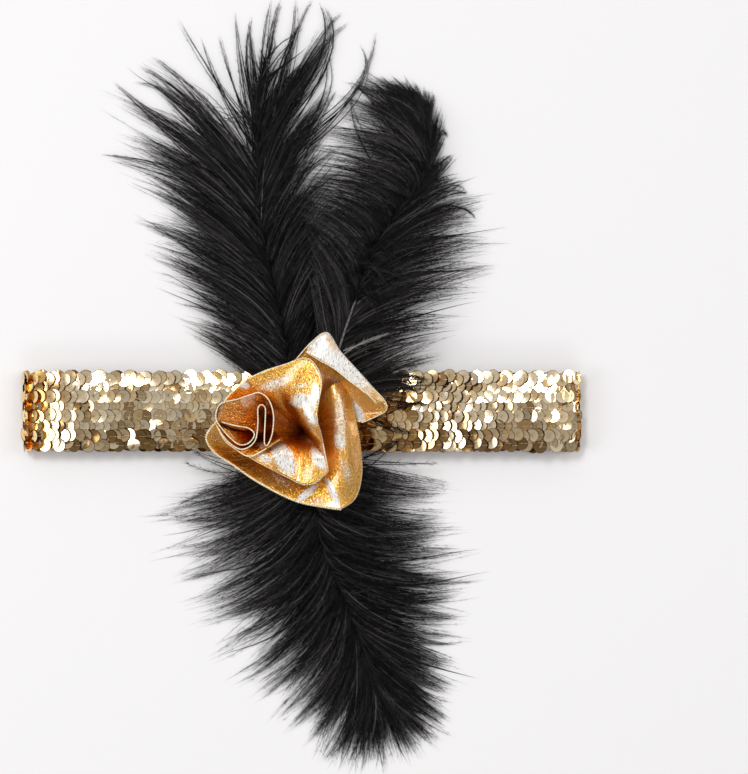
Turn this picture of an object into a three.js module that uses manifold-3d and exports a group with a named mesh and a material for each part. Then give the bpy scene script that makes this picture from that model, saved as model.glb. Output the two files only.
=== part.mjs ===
// A flapper headband lying flat: a loop of stretch sequin trim, a rose of folded
// metallic ribbon and three ostrich plumes.
// Millimetres. The floor is z = 0, +Z is up, the band runs along X and the two
// upper plumes point to +Y. The origin is the middle of the band's underside.
import * as THREE from 'three';
import { mergeVertices } from 'three/addons/utils/BufferGeometryUtils.js';
import Module from 'manifold-3d';

const wasm = await Module();
wasm.setup();

// Sizes of the whole
const clearance = 0.3;
const smallestEdge = 0.03;

// Sizes of the band, a closed loop folded flat
const bandLength = 223;
const bandWidth = 32.8;
const bandHeight = 11.5;
const bandWall = 2.5;
const bandFold = 9;
const bandCorner = 0.7;
const bandStationsPerSide = 12;
const bandStationsPerFold = 8;

// Sizes of the ribbon rose
const roseHalf = 35.8;
const roseHeight = 26;
const roseCentreX = -1.8;
const roseCentreY = -3.8;
const ribbonWall = 1;
const footRadius = 5;
const footHeight = 3;

// Sizes of the plumes
const quillRoot = 1.1;
const quillTip = 0.5;
const lockThickness = 2.4;
const lockTaper = 0.5;
const plumeSpan = 100;

// Levels that tie the pieces together
const quillLevel = bandHeight + clearance + quillRoot;
const roseLevel = quillLevel + quillRoot + clearance;

// Petals of the rose. Each row is one place along the ribbon: its rim, and the belly
// of the fold below it. X and Y are shares of roseHalf, Z of roseHeight.
const petals = {
  collar: [
    { rimX: -0.53, rimY: 0.46, rimZ: 0.50, bellyX: -0.44, bellyY: 0.34, bellyZ: 0.42 },
    { rimX: -0.77, rimY: 0.24, rimZ: 0.47, bellyX: -0.60, bellyY: 0.16, bellyZ: 0.34 },
    { rimX: -0.87, rimY: -0.01, rimZ: 0.45, bellyX: -0.65, bellyY: -0.10, bellyZ: 0.28 },
  ],
  outer: [
    { rimX: -0.87, rimY: 0.00, rimZ: 0.44, bellyX: -0.66, bellyY: -0.08, bellyZ: 0.28 },
    { rimX: -0.99, rimY: -0.17, rimZ: 0.36, bellyX: -0.71, bellyY: -0.22, bellyZ: 0.18 },
    { rimX: -0.91, rimY: -0.34, rimZ: 0.30, bellyX: -0.63, bellyY: -0.33, bellyZ: 0.12 },
    { rimX: -0.71, rimY: -0.48, rimZ: 0.28, bellyX: -0.48, bellyY: -0.43, bellyZ: 0.10 },
    { rimX: -0.40, rimY: -0.69, rimZ: 0.28, bellyX: -0.24, bellyY: -0.53, bellyZ: 0.10 },
    { rimX: -0.02, rimY: -0.88, rimZ: 0.30, bellyX: 0.03, bellyY: -0.61, bellyZ: 0.13 },
    { rimX: 0.29, rimY: -0.95, rimZ: 0.33, bellyX: 0.24, bellyY: -0.65, bellyZ: 0.19 },
    { rimX: 0.51, rimY: -0.98, rimZ: 0.38, bellyX: 0.38, bellyY: -0.68, bellyZ: 0.28 },
  ],
  side: [
    { rimX: 0.50, rimY: -0.97, rimZ: 0.41, bellyX: 0.41, bellyY: -0.78, bellyZ: 0.42 },
    { rimX: 0.66, rimY: -0.85, rimZ: 0.34, bellyX: 0.50, bellyY: -0.62, bellyZ: 0.48 },
    { rimX: 0.73, rimY: -0.58, rimZ: 0.32, bellyX: 0.52, bellyY: -0.40, bellyZ: 0.54 },
    { rimX: 0.71, rimY: -0.26, rimZ: 0.34, bellyX: 0.51, bellyY: -0.14, bellyZ: 0.58 },
    { rimX: 0.66, rimY: 0.02, rimZ: 0.38, bellyX: 0.48, bellyY: 0.11, bellyZ: 0.60 },
    { rimX: 0.60, rimY: 0.27, rimZ: 0.42, bellyX: 0.45, bellyY: 0.28, bellyZ: 0.60 },
    { rimX: 0.51, rimY: 0.42, rimZ: 0.46, bellyX: 0.41, bellyY: 0.40, bellyZ: 0.56 },
  ],
  cup: [
    { rimX: -0.87, rimY: -0.04, rimZ: 0.60, bellyX: -0.65, bellyY: -0.12, bellyZ: 0.42 },
    { rimX: -0.78, rimY: -0.21, rimZ: 0.57, bellyX: -0.57, bellyY: -0.21, bellyZ: 0.38 },
    { rimX: -0.66, rimY: -0.31, rimZ: 0.55, bellyX: -0.49, bellyY: -0.26, bellyZ: 0.36 },
    { rimX: -0.51, rimY: -0.39, rimZ: 0.54, bellyX: -0.38, bellyY: -0.29, bellyZ: 0.35 },
    { rimX: -0.35, rimY: -0.32, rimZ: 0.54, bellyX: -0.27, bellyY: -0.24, bellyZ: 0.34 },
    { rimX: -0.18, rimY: -0.21, rimZ: 0.46, bellyX: -0.15, bellyY: -0.18, bellyZ: 0.30 },
  ],
  middle: [
    { rimX: -0.66, rimY: -0.30, rimZ: 0.44, bellyX: -0.44, bellyY: -0.30, bellyZ: 0.38 },
    { rimX: -0.44, rimY: -0.44, rimZ: 0.42, bellyX: -0.30, bellyY: -0.34, bellyZ: 0.42 },
    { rimX: -0.23, rimY: -0.55, rimZ: 0.44, bellyX: -0.15, bellyY: -0.32, bellyZ: 0.50 },
    { rimX: -0.05, rimY: -0.64, rimZ: 0.47, bellyX: -0.03, bellyY: -0.31, bellyZ: 0.46 },
    { rimX: 0.03, rimY: -0.68, rimZ: 0.48, bellyX: 0.05, bellyY: -0.33, bellyZ: 0.38 },
    { rimX: 0.12, rimY: -0.70, rimZ: 0.52, bellyX: 0.12, bellyY: -0.33, bellyZ: 0.46 },
    { rimX: 0.23, rimY: -0.67, rimZ: 0.56, bellyX: 0.20, bellyY: -0.34, bellyZ: 0.56 },
    { rimX: 0.37, rimY: -0.54, rimZ: 0.62, bellyX: 0.30, bellyY: -0.37, bellyZ: 0.60 },
  ],
  upper: [
    { rimX: -0.53, rimY: 0.46, rimZ: 0.56, bellyX: -0.40, bellyY: 0.30, bellyZ: 0.48 },
    { rimX: -0.34, rimY: 0.55, rimZ: 0.62, bellyX: -0.24, bellyY: 0.24, bellyZ: 0.50 },
    { rimX: -0.12, rimY: 0.62, rimZ: 0.70, bellyX: -0.13, bellyY: 0.26, bellyZ: 0.56 },
    { rimX: 0.12, rimY: 0.69, rimZ: 0.80, bellyX: -0.04, bellyY: 0.21, bellyZ: 0.68 },
    { rimX: 0.25, rimY: 0.57, rimZ: 0.86, bellyX: 0.05, bellyY: 0.10, bellyZ: 0.80 },
    { rimX: 0.29, rimY: 0.41, rimZ: 0.90, bellyX: 0.14, bellyY: -0.01, bellyZ: 0.86 },
    { rimX: 0.26, rimY: 0.22, rimZ: 0.92, bellyX: 0.20, bellyY: -0.09, bellyZ: 0.88 },
    { rimX: 0.24, rimY: 0.03, rimZ: 0.90, bellyX: 0.27, bellyY: -0.18, bellyZ: 0.84 },
    { rimX: 0.29, rimY: -0.17, rimZ: 0.82, bellyX: 0.30, bellyY: -0.28, bellyZ: 0.74 },
    { rimX: 0.36, rimY: -0.53, rimZ: 0.64, bellyX: 0.34, bellyY: -0.49, bellyZ: 0.51 },
  ],
  tail: [
    { rimX: 0.01, rimY: 0.68, rimZ: 0.60, bellyX: -0.01, bellyY: 0.67, bellyZ: 0.56 },
    { rimX: 0.18, rimY: 0.87, rimZ: 0.62, bellyX: 0.12, bellyY: 0.66, bellyZ: 0.52 },
    { rimX: 0.35, rimY: 0.97, rimZ: 0.64, bellyX: 0.26, bellyY: 0.60, bellyZ: 0.48 },
    { rimX: 0.49, rimY: 0.77, rimZ: 0.66, bellyX: 0.38, bellyY: 0.50, bellyZ: 0.44 },
    { rimX: 0.67, rimY: 0.57, rimZ: 0.66, bellyX: 0.50, bellyY: 0.36, bellyZ: 0.42 },
    { rimX: 0.85, rimY: 0.37, rimZ: 0.62, bellyX: 0.60, bellyY: 0.24, bellyZ: 0.38 },
    { rimX: 0.99, rimY: 0.21, rimZ: 0.56, bellyX: 0.68, bellyY: 0.14, bellyZ: 0.34 },
    { rimX: 0.98, rimY: 0.10, rimZ: 0.48, bellyX: 0.68, bellyY: 0.06, bellyZ: 0.30 },
    { rimX: 0.73, rimY: -0.02, rimZ: 0.36, bellyX: 0.56, bellyY: 0.00, bellyZ: 0.26 },
  ],
};

// The band of ribbon folded back along the tail's long edge, from edge to inner hem.
const flap = [
  { rimX: 0.16, rimY: 0.84, rimZ: 0.63, bellyX: 0.12, bellyY: 0.76, bellyZ: 0.70 },
  { rimX: 0.35, rimY: 0.97, rimZ: 0.65, bellyX: 0.28, bellyY: 0.66, bellyZ: 0.74 },
  { rimX: 0.49, rimY: 0.77, rimZ: 0.67, bellyX: 0.44, bellyY: 0.57, bellyZ: 0.76 },
  { rimX: 0.67, rimY: 0.57, rimZ: 0.67, bellyX: 0.60, bellyY: 0.44, bellyZ: 0.74 },
  { rimX: 0.85, rimY: 0.37, rimZ: 0.63, bellyX: 0.80, bellyY: 0.29, bellyZ: 0.69 },
  { rimX: 0.98, rimY: 0.22, rimZ: 0.57, bellyX: 0.90, bellyY: 0.19, bellyZ: 0.62 },
];

// The coiled heart of the rose, one row for each bend of the ribbon seen on edge.
const heart = [
  { x: -0.81, y: -0.01 },
  { x: -0.66, y: -0.05 },
  { x: -0.51, y: -0.08 },
  { x: -0.45, y: -0.15 },
  { x: -0.51, y: -0.24 },
  { x: -0.61, y: -0.26 },
  { x: -0.71, y: -0.19 },
  { x: -0.81, y: -0.08 },
  { x: -0.87, y: 0.02 },
  { x: -0.86, y: 0.13 },
  { x: -0.80, y: 0.20 },
  { x: -0.64, y: 0.24 },
  { x: -0.49, y: 0.29 },
  { x: -0.39, y: 0.31 },
  { x: -0.29, y: 0.23 },
  { x: -0.24, y: 0.07 },
  { x: -0.25, y: -0.12 },
  { x: -0.29, y: -0.24 },
  { x: -0.32, y: -0.27 },
  { x: -0.34, y: -0.22 },
  { x: -0.33, y: 0.02 },
  { x: -0.33, y: 0.14 },
  { x: -0.37, y: 0.18 },
  { x: -0.41, y: 0.14 },
  { x: -0.41, y: 0.00 },
  { x: -0.42, y: -0.13 },
];
const heartBottom = 0.1;
const heartTop = 0.66;
const gatherX = 0.07;
const gatherY = -0.12;
const heartFootX = -0.40;
const heartFootY = -0.06;

// Plumes. Each row is one section across the vane: the quill, the tips of the locks
// left and right of it, all in shares of plumeSpan, and their levels in shares of
// quillLevel.
const plumes = {
  left: [
    { quillX: -0.03, quillY: -0.03, level: 1, leftX: -0.2, leftY: 0.22, leftLevel: 0.9,
      rightX: 0.06, rightY: 0.24, rightLevel: 0.6 },
    { quillX: -0.05, quillY: 0.19, level: 0.99, leftX: -0.37, leftY: 0.28, leftLevel: 0,
      rightX: 0.1, rightY: 0.38, rightLevel: 0 },
    { quillX: -0.08, quillY: 0.36, level: 0.58, leftX: -0.48, leftY: 0.5, leftLevel: 0,
      rightX: 0.14, rightY: 0.56, rightLevel: 0 },
    { quillX: -0.12, quillY: 0.54, level: 0.42, leftX: -0.55, leftY: 0.68, leftLevel: 0,
      rightX: 0.14, rightY: 0.74, rightLevel: 0 },
    { quillX: -0.155, quillY: 0.74, level: 0.36, leftX: -0.62, leftY: 0.82, leftLevel: 0,
      rightX: 0.11, rightY: 0.92, rightLevel: 0 },
    { quillX: -0.175, quillY: 0.96, level: 0.34, leftX: -0.77, leftY: 1.03, leftLevel: 0,
      rightX: 0.05, rightY: 1.16, rightLevel: 0 },
    { quillX: -0.16, quillY: 1.15, level: 0.32, leftX: -0.7, leftY: 1.3, leftLevel: 0,
      rightX: 0.08, rightY: 1.44, rightLevel: 0 },
    { quillX: -0.12, quillY: 1.33, level: 0.28, leftX: -0.34, leftY: 1.54, leftLevel: 0,
      rightX: 0.11, rightY: 1.58, rightLevel: 0 },
  ],
  right: [
    { quillX: 0.08, quillY: -0.04, level: 1, leftX: 0.04, leftY: 0.46, leftLevel: 0.7,
      rightX: 0.36, rightY: 0.04, rightLevel: 1.12 },
    { quillX: 0.145, quillY: 0.22, level: 1, leftX: 0.04, leftY: 0.6, leftLevel: 0.5,
      rightX: 0.46, rightY: 0.08, rightLevel: 1.12 },
    { quillX: 0.21, quillY: 0.42, level: 0.98, leftX: 0.04, leftY: 0.7, leftLevel: 0.48,
      rightX: 0.51, rightY: 0.24, rightLevel: 1.04 },
    { quillX: 0.28, quillY: 0.62, level: 0.88, leftX: 0.01, leftY: 0.79, leftLevel: 0.47,
      rightX: 0.6, rightY: 0.45, rightLevel: 0.3 },
    { quillX: 0.38, quillY: 0.79, level: 0.76, leftX: 0, leftY: 0.88, leftLevel: 0.46,
      rightX: 0.71, rightY: 0.65, rightLevel: 0 },
    { quillX: 0.475, quillY: 0.91, level: 0.64, leftX: 0.03, leftY: 0.99, leftLevel: 0.44,
      rightX: 0.71, rightY: 0.82, rightLevel: 0 },
    { quillX: 0.51, quillY: 1.04, level: 0.5, leftX: 0.14, leftY: 1.16, leftLevel: 0.2,
      rightX: 0.64, rightY: 1.04, rightLevel: 0 },
    { quillX: 0.5, quillY: 1.16, level: 0.36, leftX: 0.27, leftY: 1.28, leftLevel: 0,
      rightX: 0.54, rightY: 1.24, rightLevel: 0 },
  ],
  lower: [
    { quillX: 0.03, quillY: -0.09, level: 1, leftX: -0.3, leftY: -0.24, leftLevel: 0.6,
      rightX: 0.4, rightY: -0.24, rightLevel: 0.6 },
    { quillX: 0.04, quillY: -0.2, level: 0.99, leftX: -0.44, leftY: -0.36, leftLevel: 0,
      rightX: 0.52, rightY: -0.32, rightLevel: 0 },
    { quillX: 0.055, quillY: -0.36, level: 0.66, leftX: -0.46, leftY: -0.5, leftLevel: 0,
      rightX: 0.52, rightY: -0.46, rightLevel: 0 },
    { quillX: 0.08, quillY: -0.52, level: 0.46, leftX: -0.42, leftY: -0.72, leftLevel: 0,
      rightX: 0.56, rightY: -0.6, rightLevel: 0 },
    { quillX: 0.13, quillY: -0.66, level: 0.38, leftX: -0.34, leftY: -0.9, leftLevel: 0,
      rightX: 0.62, rightY: -0.76, rightLevel: 0 },
    { quillX: 0.19, quillY: -0.8, level: 0.36, leftX: -0.16, leftY: -1.08, leftLevel: 0,
      rightX: 0.62, rightY: -0.98, rightLevel: 0 },
    { quillX: 0.24, quillY: -0.93, level: 0.34, leftX: -0.02, leftY: -1.24, leftLevel: 0,
      rightX: 0.6, rightY: -1.16, rightLevel: 0 },
    { quillX: 0.285, quillY: -1.07, level: 0.3, leftX: 0.12, leftY: -1.34, leftLevel: 0,
      rightX: 0.48, rightY: -1.33, rightLevel: 0 },
  ],
};
const lockPairs = 10;
const tipLocks = 3;
const tipBow = 0.2;
const lockStations = 4;
const lockSpread = 2.1;
const firstLockWidth = 0.45;
const firstLock = 0.14;
const quillStations = 14;
const quillSides = 6;

// Reads one smooth value of a table column at a share of the table's length.
function column(rows, name, share) {
  const spans = rows.length - 1;
  const place = Math.min(Math.max(share, 0), 1) * spans;
  const i = Math.min(Math.floor(place), spans - 1);
  const t = place - i;
  const at = (k) => rows[Math.min(Math.max(k, 0), spans)][name];
  const slopeStart = (at(i + 1) - at(i - 1)) / 2;
  const slopeEnd = (at(i + 2) - at(i)) / 2;
  const start = (2 * t ** 3 - 3 * t ** 2 + 1) * at(i) + (t ** 3 - 2 * t ** 2 + t) * slopeStart;
  const end = (3 * t ** 2 - 2 * t ** 3) * at(i + 1) + (t ** 3 - t ** 2) * slopeEnd;
  return start + end;
}

// A closed geometry from rings of points: joined ring to ring, with flat ends, or
// with the last ring joined to the first when it is a loop.
function loft(rings, isLoop = false) {
  const count = rings[0].length;
  const positions = [];
  const push = (...points) => points.forEach((p) => positions.push(p.x, p.y, p.z));
  const last = isLoop ? rings.length : rings.length - 1;
  for (let i = 0; i < last; i += 1) {
    const here = rings[i];
    const next = rings[(i + 1) % rings.length];
    for (let j = 0; j < count; j += 1) {
      const k = (j + 1) % count;
      push(here[j], next[j], next[k]);
      push(here[j], next[k], here[k]);
    }
  }
  if (!isLoop) {
    const end = rings[rings.length - 1];
    for (let j = 1; j < count - 1; j += 1) {
      push(rings[0][0], rings[0][j], rings[0][j + 1]);
      push(end[0], end[j + 1], end[j]);
    }
  }
  const geometry = new THREE.BufferGeometry();
  geometry.setAttribute('position', new THREE.Float32BufferAttribute(positions, 3));
  return geometry;
}

// A closed geometry with a wall of the given thickness about a grid of points.
function sheet(grid, thickness) {
  const rows = grid.length;
  const columns = grid[0].length;
  const normalAt = (i, j) => {
    const along = grid[Math.min(i + 1, rows - 1)][j].clone().sub(grid[Math.max(i - 1, 0)][j]);
    const across = grid[i][Math.min(j + 1, columns - 1)].clone().sub(grid[i][Math.max(j - 1, 0)]);
    return along.cross(across).normalize();
  };
  const rings = grid.map((row, i) => {
    const over = row.map((p, j) => p.clone().addScaledVector(normalAt(i, j), thickness / 2));
    const under = row.map((p, j) => p.clone().addScaledVector(normalAt(i, j), -thickness / 2));
    return [...over, ...under.reverse()];
  });
  const geometry = loft(rings);
  // The flat ends of a thin wall are strips, not fans.
  const positions = [];
  const sides = geometry.getAttribute('position').array;
  const sideCount = (rows - 1) * columns * 2 * 2 * 9;
  for (let k = 0; k < sideCount; k += 1) positions.push(sides[k]);
  const push = (...points) => points.forEach((p) => positions.push(p.x, p.y, p.z));
  [rings[0], rings[rows - 1]].forEach((ring, isEnd) => {
    for (let j = 0; j < columns - 1; j += 1) {
      const a = ring[j];
      const b = ring[j + 1];
      const c = ring[2 * columns - 2 - j];
      const d = ring[2 * columns - 1 - j];
      if (isEnd) {
        push(a, c, b);
        push(a, d, c);
      } else {
        push(a, b, c);
        push(a, c, d);
      }
    }
  });
  const closed = new THREE.BufferGeometry();
  closed.setAttribute('position', new THREE.Float32BufferAttribute(positions, 3));
  return closed;
}

// Six times the signed volume, to tell whether the faces point out.
function signedVolume(vertices, triangles) {
  let total = 0;
  const corner = (k) => new THREE.Vector3().fromArray(vertices, 3 * triangles[k]);
  for (let k = 0; k < triangles.length; k += 3) {
    total += corner(k).dot(corner(k + 1).cross(corner(k + 2)));
  }
  return total;
}

function toSolid(geometry) {
  geometry.deleteAttribute('normal');
  geometry.deleteAttribute('uv');
  const merged = mergeVertices(geometry, 1e-3);
  const vertProperties = new Float32Array(merged.getAttribute('position').array);
  const triVerts = new Uint32Array(merged.index.array);
  if (signedVolume(vertProperties, triVerts) < 0) {
    for (let k = 0; k < triVerts.length; k += 3) {
      [triVerts[k], triVerts[k + 1]] = [triVerts[k + 1], triVerts[k]];
    }
  }
  return new wasm.Manifold(new wasm.Mesh({ numProp: 3, vertProperties, triVerts }));
}

// Joins the pieces and keeps the outer body, so no small pocket stays sealed inside.
function fuse(geometries) {
  const whole = geometries.map(toSolid).reduce((sum, piece) => sum.add(piece));
  const bodies = whole.simplify(smallestEdge).decompose();
  return bodies.reduce((big, body) => (body.volume() > big.volume() ? body : big));
}

function toGeometry(solid) {
  const { vertProperties, triVerts } = solid.getMesh();
  const geometry = new THREE.BufferGeometry();
  geometry.setAttribute('position', new THREE.BufferAttribute(new Float32Array(vertProperties), 3));
  geometry.setIndex(new THREE.BufferAttribute(new Uint32Array(triVerts), 1));
  geometry.computeVertexNormals();
  return geometry;
}

// The band: a rounded strip of wall swept round a flat loop with elliptical folds.
function bandGeometry() {
  const centreHeight = bandHeight / 2;
  const straightHalf = bandLength / 2 - bandFold;
  const stations = [];
  for (let i = 0; i < bandStationsPerSide; i += 1) {
    const x = -straightHalf + (2 * straightHalf * i) / bandStationsPerSide;
    stations.push({ x, z: -centreHeight, nx: 0, nz: -1 });
  }
  for (let i = 0; i < bandStationsPerFold; i += 1) {
    const angle = -Math.PI / 2 + (Math.PI * i) / bandStationsPerFold;
    stations.push(foldStation(angle, straightHalf, centreHeight));
  }
  const half = stations.length;
  for (let i = 0; i < half; i += 1) {
    const { x, z, nx, nz } = stations[i];
    stations.push({ x: -x, z: -z, nx: -nx, nz: -nz });
  }
  const edge = bandWidth / 2;
  const profile = [
    { y: -edge, depth: bandCorner },
    { y: -edge + bandCorner, depth: 0 },
    { y: edge - bandCorner, depth: 0 },
    { y: edge, depth: bandCorner },
    { y: edge, depth: bandWall - bandCorner },
    { y: edge - bandCorner, depth: bandWall },
    { y: -edge + bandCorner, depth: bandWall },
    { y: -edge, depth: bandWall - bandCorner },
  ];
  const rings = stations.map(({ x, z, nx, nz }) => profile.map(({ y, depth }) =>
    new THREE.Vector3(x - nx * depth, y, centreHeight + z - nz * depth)));
  return loft(rings, true);
}

// One place on an elliptical fold, with the direction that faces out of it.
function foldStation(angle, straightHalf, centreHeight) {
  const out = new THREE.Vector2(Math.cos(angle) / bandFold, Math.sin(angle) / centreHeight);
  out.normalize();
  return {
    x: straightHalf + bandFold * Math.cos(angle),
    z: centreHeight * Math.sin(angle),
    nx: out.x,
    nz: out.y,
  };
}

function rosePoint(x, y, z) {
  return new THREE.Vector3(
    roseCentreX + x * roseHalf,
    roseCentreY + y * roseHalf,
    roseLevel + z * roseHeight,
  );
}

// A petal: at each place along it a curve runs from the rim through the belly of the
// fold down to the gathered foot.
function petalGeometry(rows, steps, footX, footY) {
  const grid = [];
  const levels = 4;
  for (let i = 0; i <= steps; i += 1) {
    const share = i / steps;
    const read = (name) => column(rows, name, share);
    const rim = rosePoint(read('rimX'), read('rimY'), read('rimZ'));
    const belly = rosePoint(read('bellyX'), read('bellyY'), read('bellyZ'));
    const centre = rosePoint(footX, footY, 0);
    const foot = belly.clone().sub(centre).setZ(0).setLength(footRadius * 0.7).add(centre);
    foot.z = roseLevel + footHeight / 2;
    const row = [];
    for (let j = 0; j <= levels; j += 1) {
      const t = j / levels;
      const curve = new THREE.CatmullRomCurve3([rim, belly, foot], false, 'centripetal');
      row.push(curve.getPoint(t));
    }
    grid.push(row);
  }
  return sheet(grid, ribbonWall);
}

// The ribbon folded back over the tail's long edge.
function flapGeometry() {
  const steps = 8;
  const grid = [];
  for (let i = 0; i <= steps; i += 1) {
    const read = (name) => column(flap, name, i / steps);
    const rim = rosePoint(read('rimX'), read('rimY'), read('rimZ'));
    const hem = rosePoint(read('bellyX'), read('bellyY'), read('bellyZ'));
    grid.push([rim, rim.clone().lerp(hem, 0.5), hem]);
  }
  return sheet(grid, ribbonWall);
}

// The heart: the ribbon stands on edge along a smooth line through its bends.
function heartGeometry() {
  const points = heart.map(({ x, y }) => new THREE.Vector3(x * roseHalf, y * roseHalf, 0));
  const line = new THREE.CatmullRomCurve3(points, false, 'centripetal');
  const steps = 36;
  const rings = [];
  for (let i = 0; i <= steps; i += 1) {
    const share = i / steps;
    const p = line.getPoint(share);
    const tangent = line.getTangent(share);
    const side = new THREE.Vector3(-tangent.y, tangent.x, 0).setLength(ribbonWall / 2);
    const low = roseLevel + heartBottom * roseHeight;
    const high = roseLevel + heartTop * roseHeight;
    const place = (offset, z) => new THREE.Vector3(
      roseCentreX + p.x + side.x * offset,
      roseCentreY + p.y + side.y * offset,
      z,
    );
    rings.push([place(-1, low), place(1, low), place(1, high), place(-1, high)]);
  }
  return loft(rings);
}

// The gathered foot: a low round cushion that every fold runs into.
function footGeometry(x, y, radius, height) {
  const profile = [
    new THREE.Vector2(0, 0),
    new THREE.Vector2(radius * 0.85, 0),
    new THREE.Vector2(radius, height * 0.4),
    new THREE.Vector2(radius * 0.7, height * 0.85),
    new THREE.Vector2(0, height),
  ];
  const geometry = new THREE.LatheGeometry(profile, 14);
  geometry.rotateX(Math.PI / 2);
  const at = rosePoint(x, y, 0);
  geometry.translate(at.x, at.y, at.z);
  return geometry;
}

function roseGeometry() {
  const pieces = [footGeometry(gatherX, gatherY, footRadius * 1.8, footHeight)];
  pieces.push(footGeometry(heartFootX, heartFootY, footRadius * 1.5, heartBottom * roseHeight + ribbonWall));
  pieces.push(petalGeometry(petals.collar, 5, gatherX, gatherY));
  pieces.push(petalGeometry(petals.outer, 10, gatherX, gatherY));
  pieces.push(petalGeometry(petals.side, 8, gatherX, gatherY));
  pieces.push(petalGeometry(petals.cup, 8, heartFootX, heartFootY));
  pieces.push(petalGeometry(petals.middle, 10, gatherX, gatherY));
  pieces.push(petalGeometry(petals.upper, 11, gatherX, gatherY));
  pieces.push(petalGeometry(petals.tail, 10, gatherX, gatherY));
  pieces.push(flapGeometry());
  pieces.push(heartGeometry());
  return toGeometry(fuse(pieces));
}

function quillPoint(rows, share) {
  return new THREE.Vector3(
    column(rows, 'quillX', share) * plumeSpan,
    column(rows, 'quillY', share) * plumeSpan,
    column(rows, 'level', share) * quillLevel,
  );
}

function quillDirection(rows, share) {
  const step = 0.01;
  return quillPoint(rows, Math.min(share + step, 1)).sub(quillPoint(rows, Math.max(share - step, 0)))
    .normalize();
}

function quillGeometry(rows) {
  const rings = [];
  for (let i = 0; i <= quillStations; i += 1) {
    const share = i / quillStations;
    const centre = quillPoint(rows, share);
    const forward = quillDirection(rows, share);
    const side = new THREE.Vector3(-forward.y, forward.x, 0).normalize();
    const up = side.clone().cross(forward).negate();
    const radius = THREE.MathUtils.lerp(quillRoot, quillTip, share);
    const ring = [];
    for (let j = 0; j < quillSides; j += 1) {
      const angle = (2 * Math.PI * j) / quillSides;
      ring.push(centre.clone().addScaledVector(side, radius * Math.cos(angle))
        .addScaledVector(up, radius * Math.sin(angle)));
    }
    rings.push(ring);
  }
  return loft(rings);
}

// The tip of the lock that starts at a share of the quill, on one side of it.
function lockTip(rows, share, side) {
  return new THREE.Vector3(
    column(rows, side + 'X', share) * plumeSpan,
    column(rows, side + 'Y', share) * plumeSpan,
    Math.max(column(rows, side + 'Level', share), 0) * quillLevel + lockThickness * lockTaper / 2,
  );
}

// A lock: a flat strip that leaves the quill forward, bows out and droops to its tip.
function lockGeometry(rows, share, tip, width) {
  const root = quillPoint(rows, share);
  const reach = root.distanceTo(tip);
  const control = root.clone().addScaledVector(quillDirection(rows, share), reach * 0.45);
  control.lerp(root.clone().lerp(tip, 0.5), 0.35);
  control.z = THREE.MathUtils.lerp(root.z, tip.z, 0.3);
  const curve = new THREE.QuadraticBezierCurve3(root, control, tip);
  const rings = [];
  for (let i = 0; i < lockStations; i += 1) {
    const t = i / (lockStations - 1);
    const p = curve.getPoint(t);
    const forward = curve.getTangent(t);
    const across = new THREE.Vector3(-forward.y, forward.x, 0).normalize();
    const half = (width / 2) * (0.5 + 0.5 * Math.sin(Math.PI * t)) * (1 - 0.35 * t);
    const thick = (lockThickness / 2) * (1 - (1 - lockTaper) * t);
    rings.push([
      p.clone().addScaledVector(across, half),
      p.clone().add(new THREE.Vector3(0, 0, thick)),
      p.clone().addScaledVector(across, -half),
      p.clone().add(new THREE.Vector3(0, 0, -thick)),
    ]);
  }
  return loft(rings);
}

function plumeGeometry(rows) {
  const pieces = [quillGeometry(rows)];
  const lengthOf = quillPoint(rows, firstLock).distanceTo(quillPoint(rows, 1));
  const width = (lengthOf / lockPairs) * lockSpread;
  for (let i = 0; i < lockPairs; i += 1) {
    const share = firstLock + (1 - firstLock) * (i / lockPairs);
    const later = share + 0.45 / lockPairs;
    const wide = width * Math.min(firstLockWidth + 0.25 * i, 1);
    pieces.push(lockGeometry(rows, share, lockTip(rows, share, 'left'), wide));
    pieces.push(lockGeometry(rows, later, lockTip(rows, later, 'right'), wide));
  }
  // The end of the vane fans between the last tips on each side.
  const left = lockTip(rows, 1, 'left');
  const right = lockTip(rows, 1, 'right');
  const bow = quillDirection(rows, 1).setZ(0).setLength(left.distanceTo(right) * tipBow);
  for (let k = 0; k < tipLocks; k += 1) {
    const across = (k + 0.5) / tipLocks;
    const tip = left.clone().lerp(right, across);
    tip.addScaledVector(bow, Math.sin(Math.PI * across));
    pieces.push(lockGeometry(rows, 0.98, tip, width));
  }
  return toGeometry(fuse(pieces));
}

const materials = {
  sequins: new THREE.MeshStandardMaterial({ color: '#c3ab85', roughness: 0.3, metalness: 0.8 }),
  lame: new THREE.MeshStandardMaterial({ color: '#cf8a1e', roughness: 0.35, metalness: 0.9 }),
  plume: new THREE.MeshStandardMaterial({ color: '#1c191c', roughness: 0.7, metalness: 0 }),
};

function piece(name, geometry, material) {
  const mesh = new THREE.Mesh(geometry, material);
  mesh.name = name;
  return mesh;
}

const headband = new THREE.Group();
headband.name = 'headband';
headband.add(piece('band_loop', toGeometry(toSolid(bandGeometry())), materials.sequins));
headband.add(piece('ribbon_rose', roseGeometry(), materials.lame));
headband.add(piece('plume_left', plumeGeometry(plumes.left), materials.plume));
headband.add(piece('plume_right', plumeGeometry(plumes.right), materials.plume));
headband.add(piece('plume_lower', plumeGeometry(plumes.lower), materials.plume));

export default headband;
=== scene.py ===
import math

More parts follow.
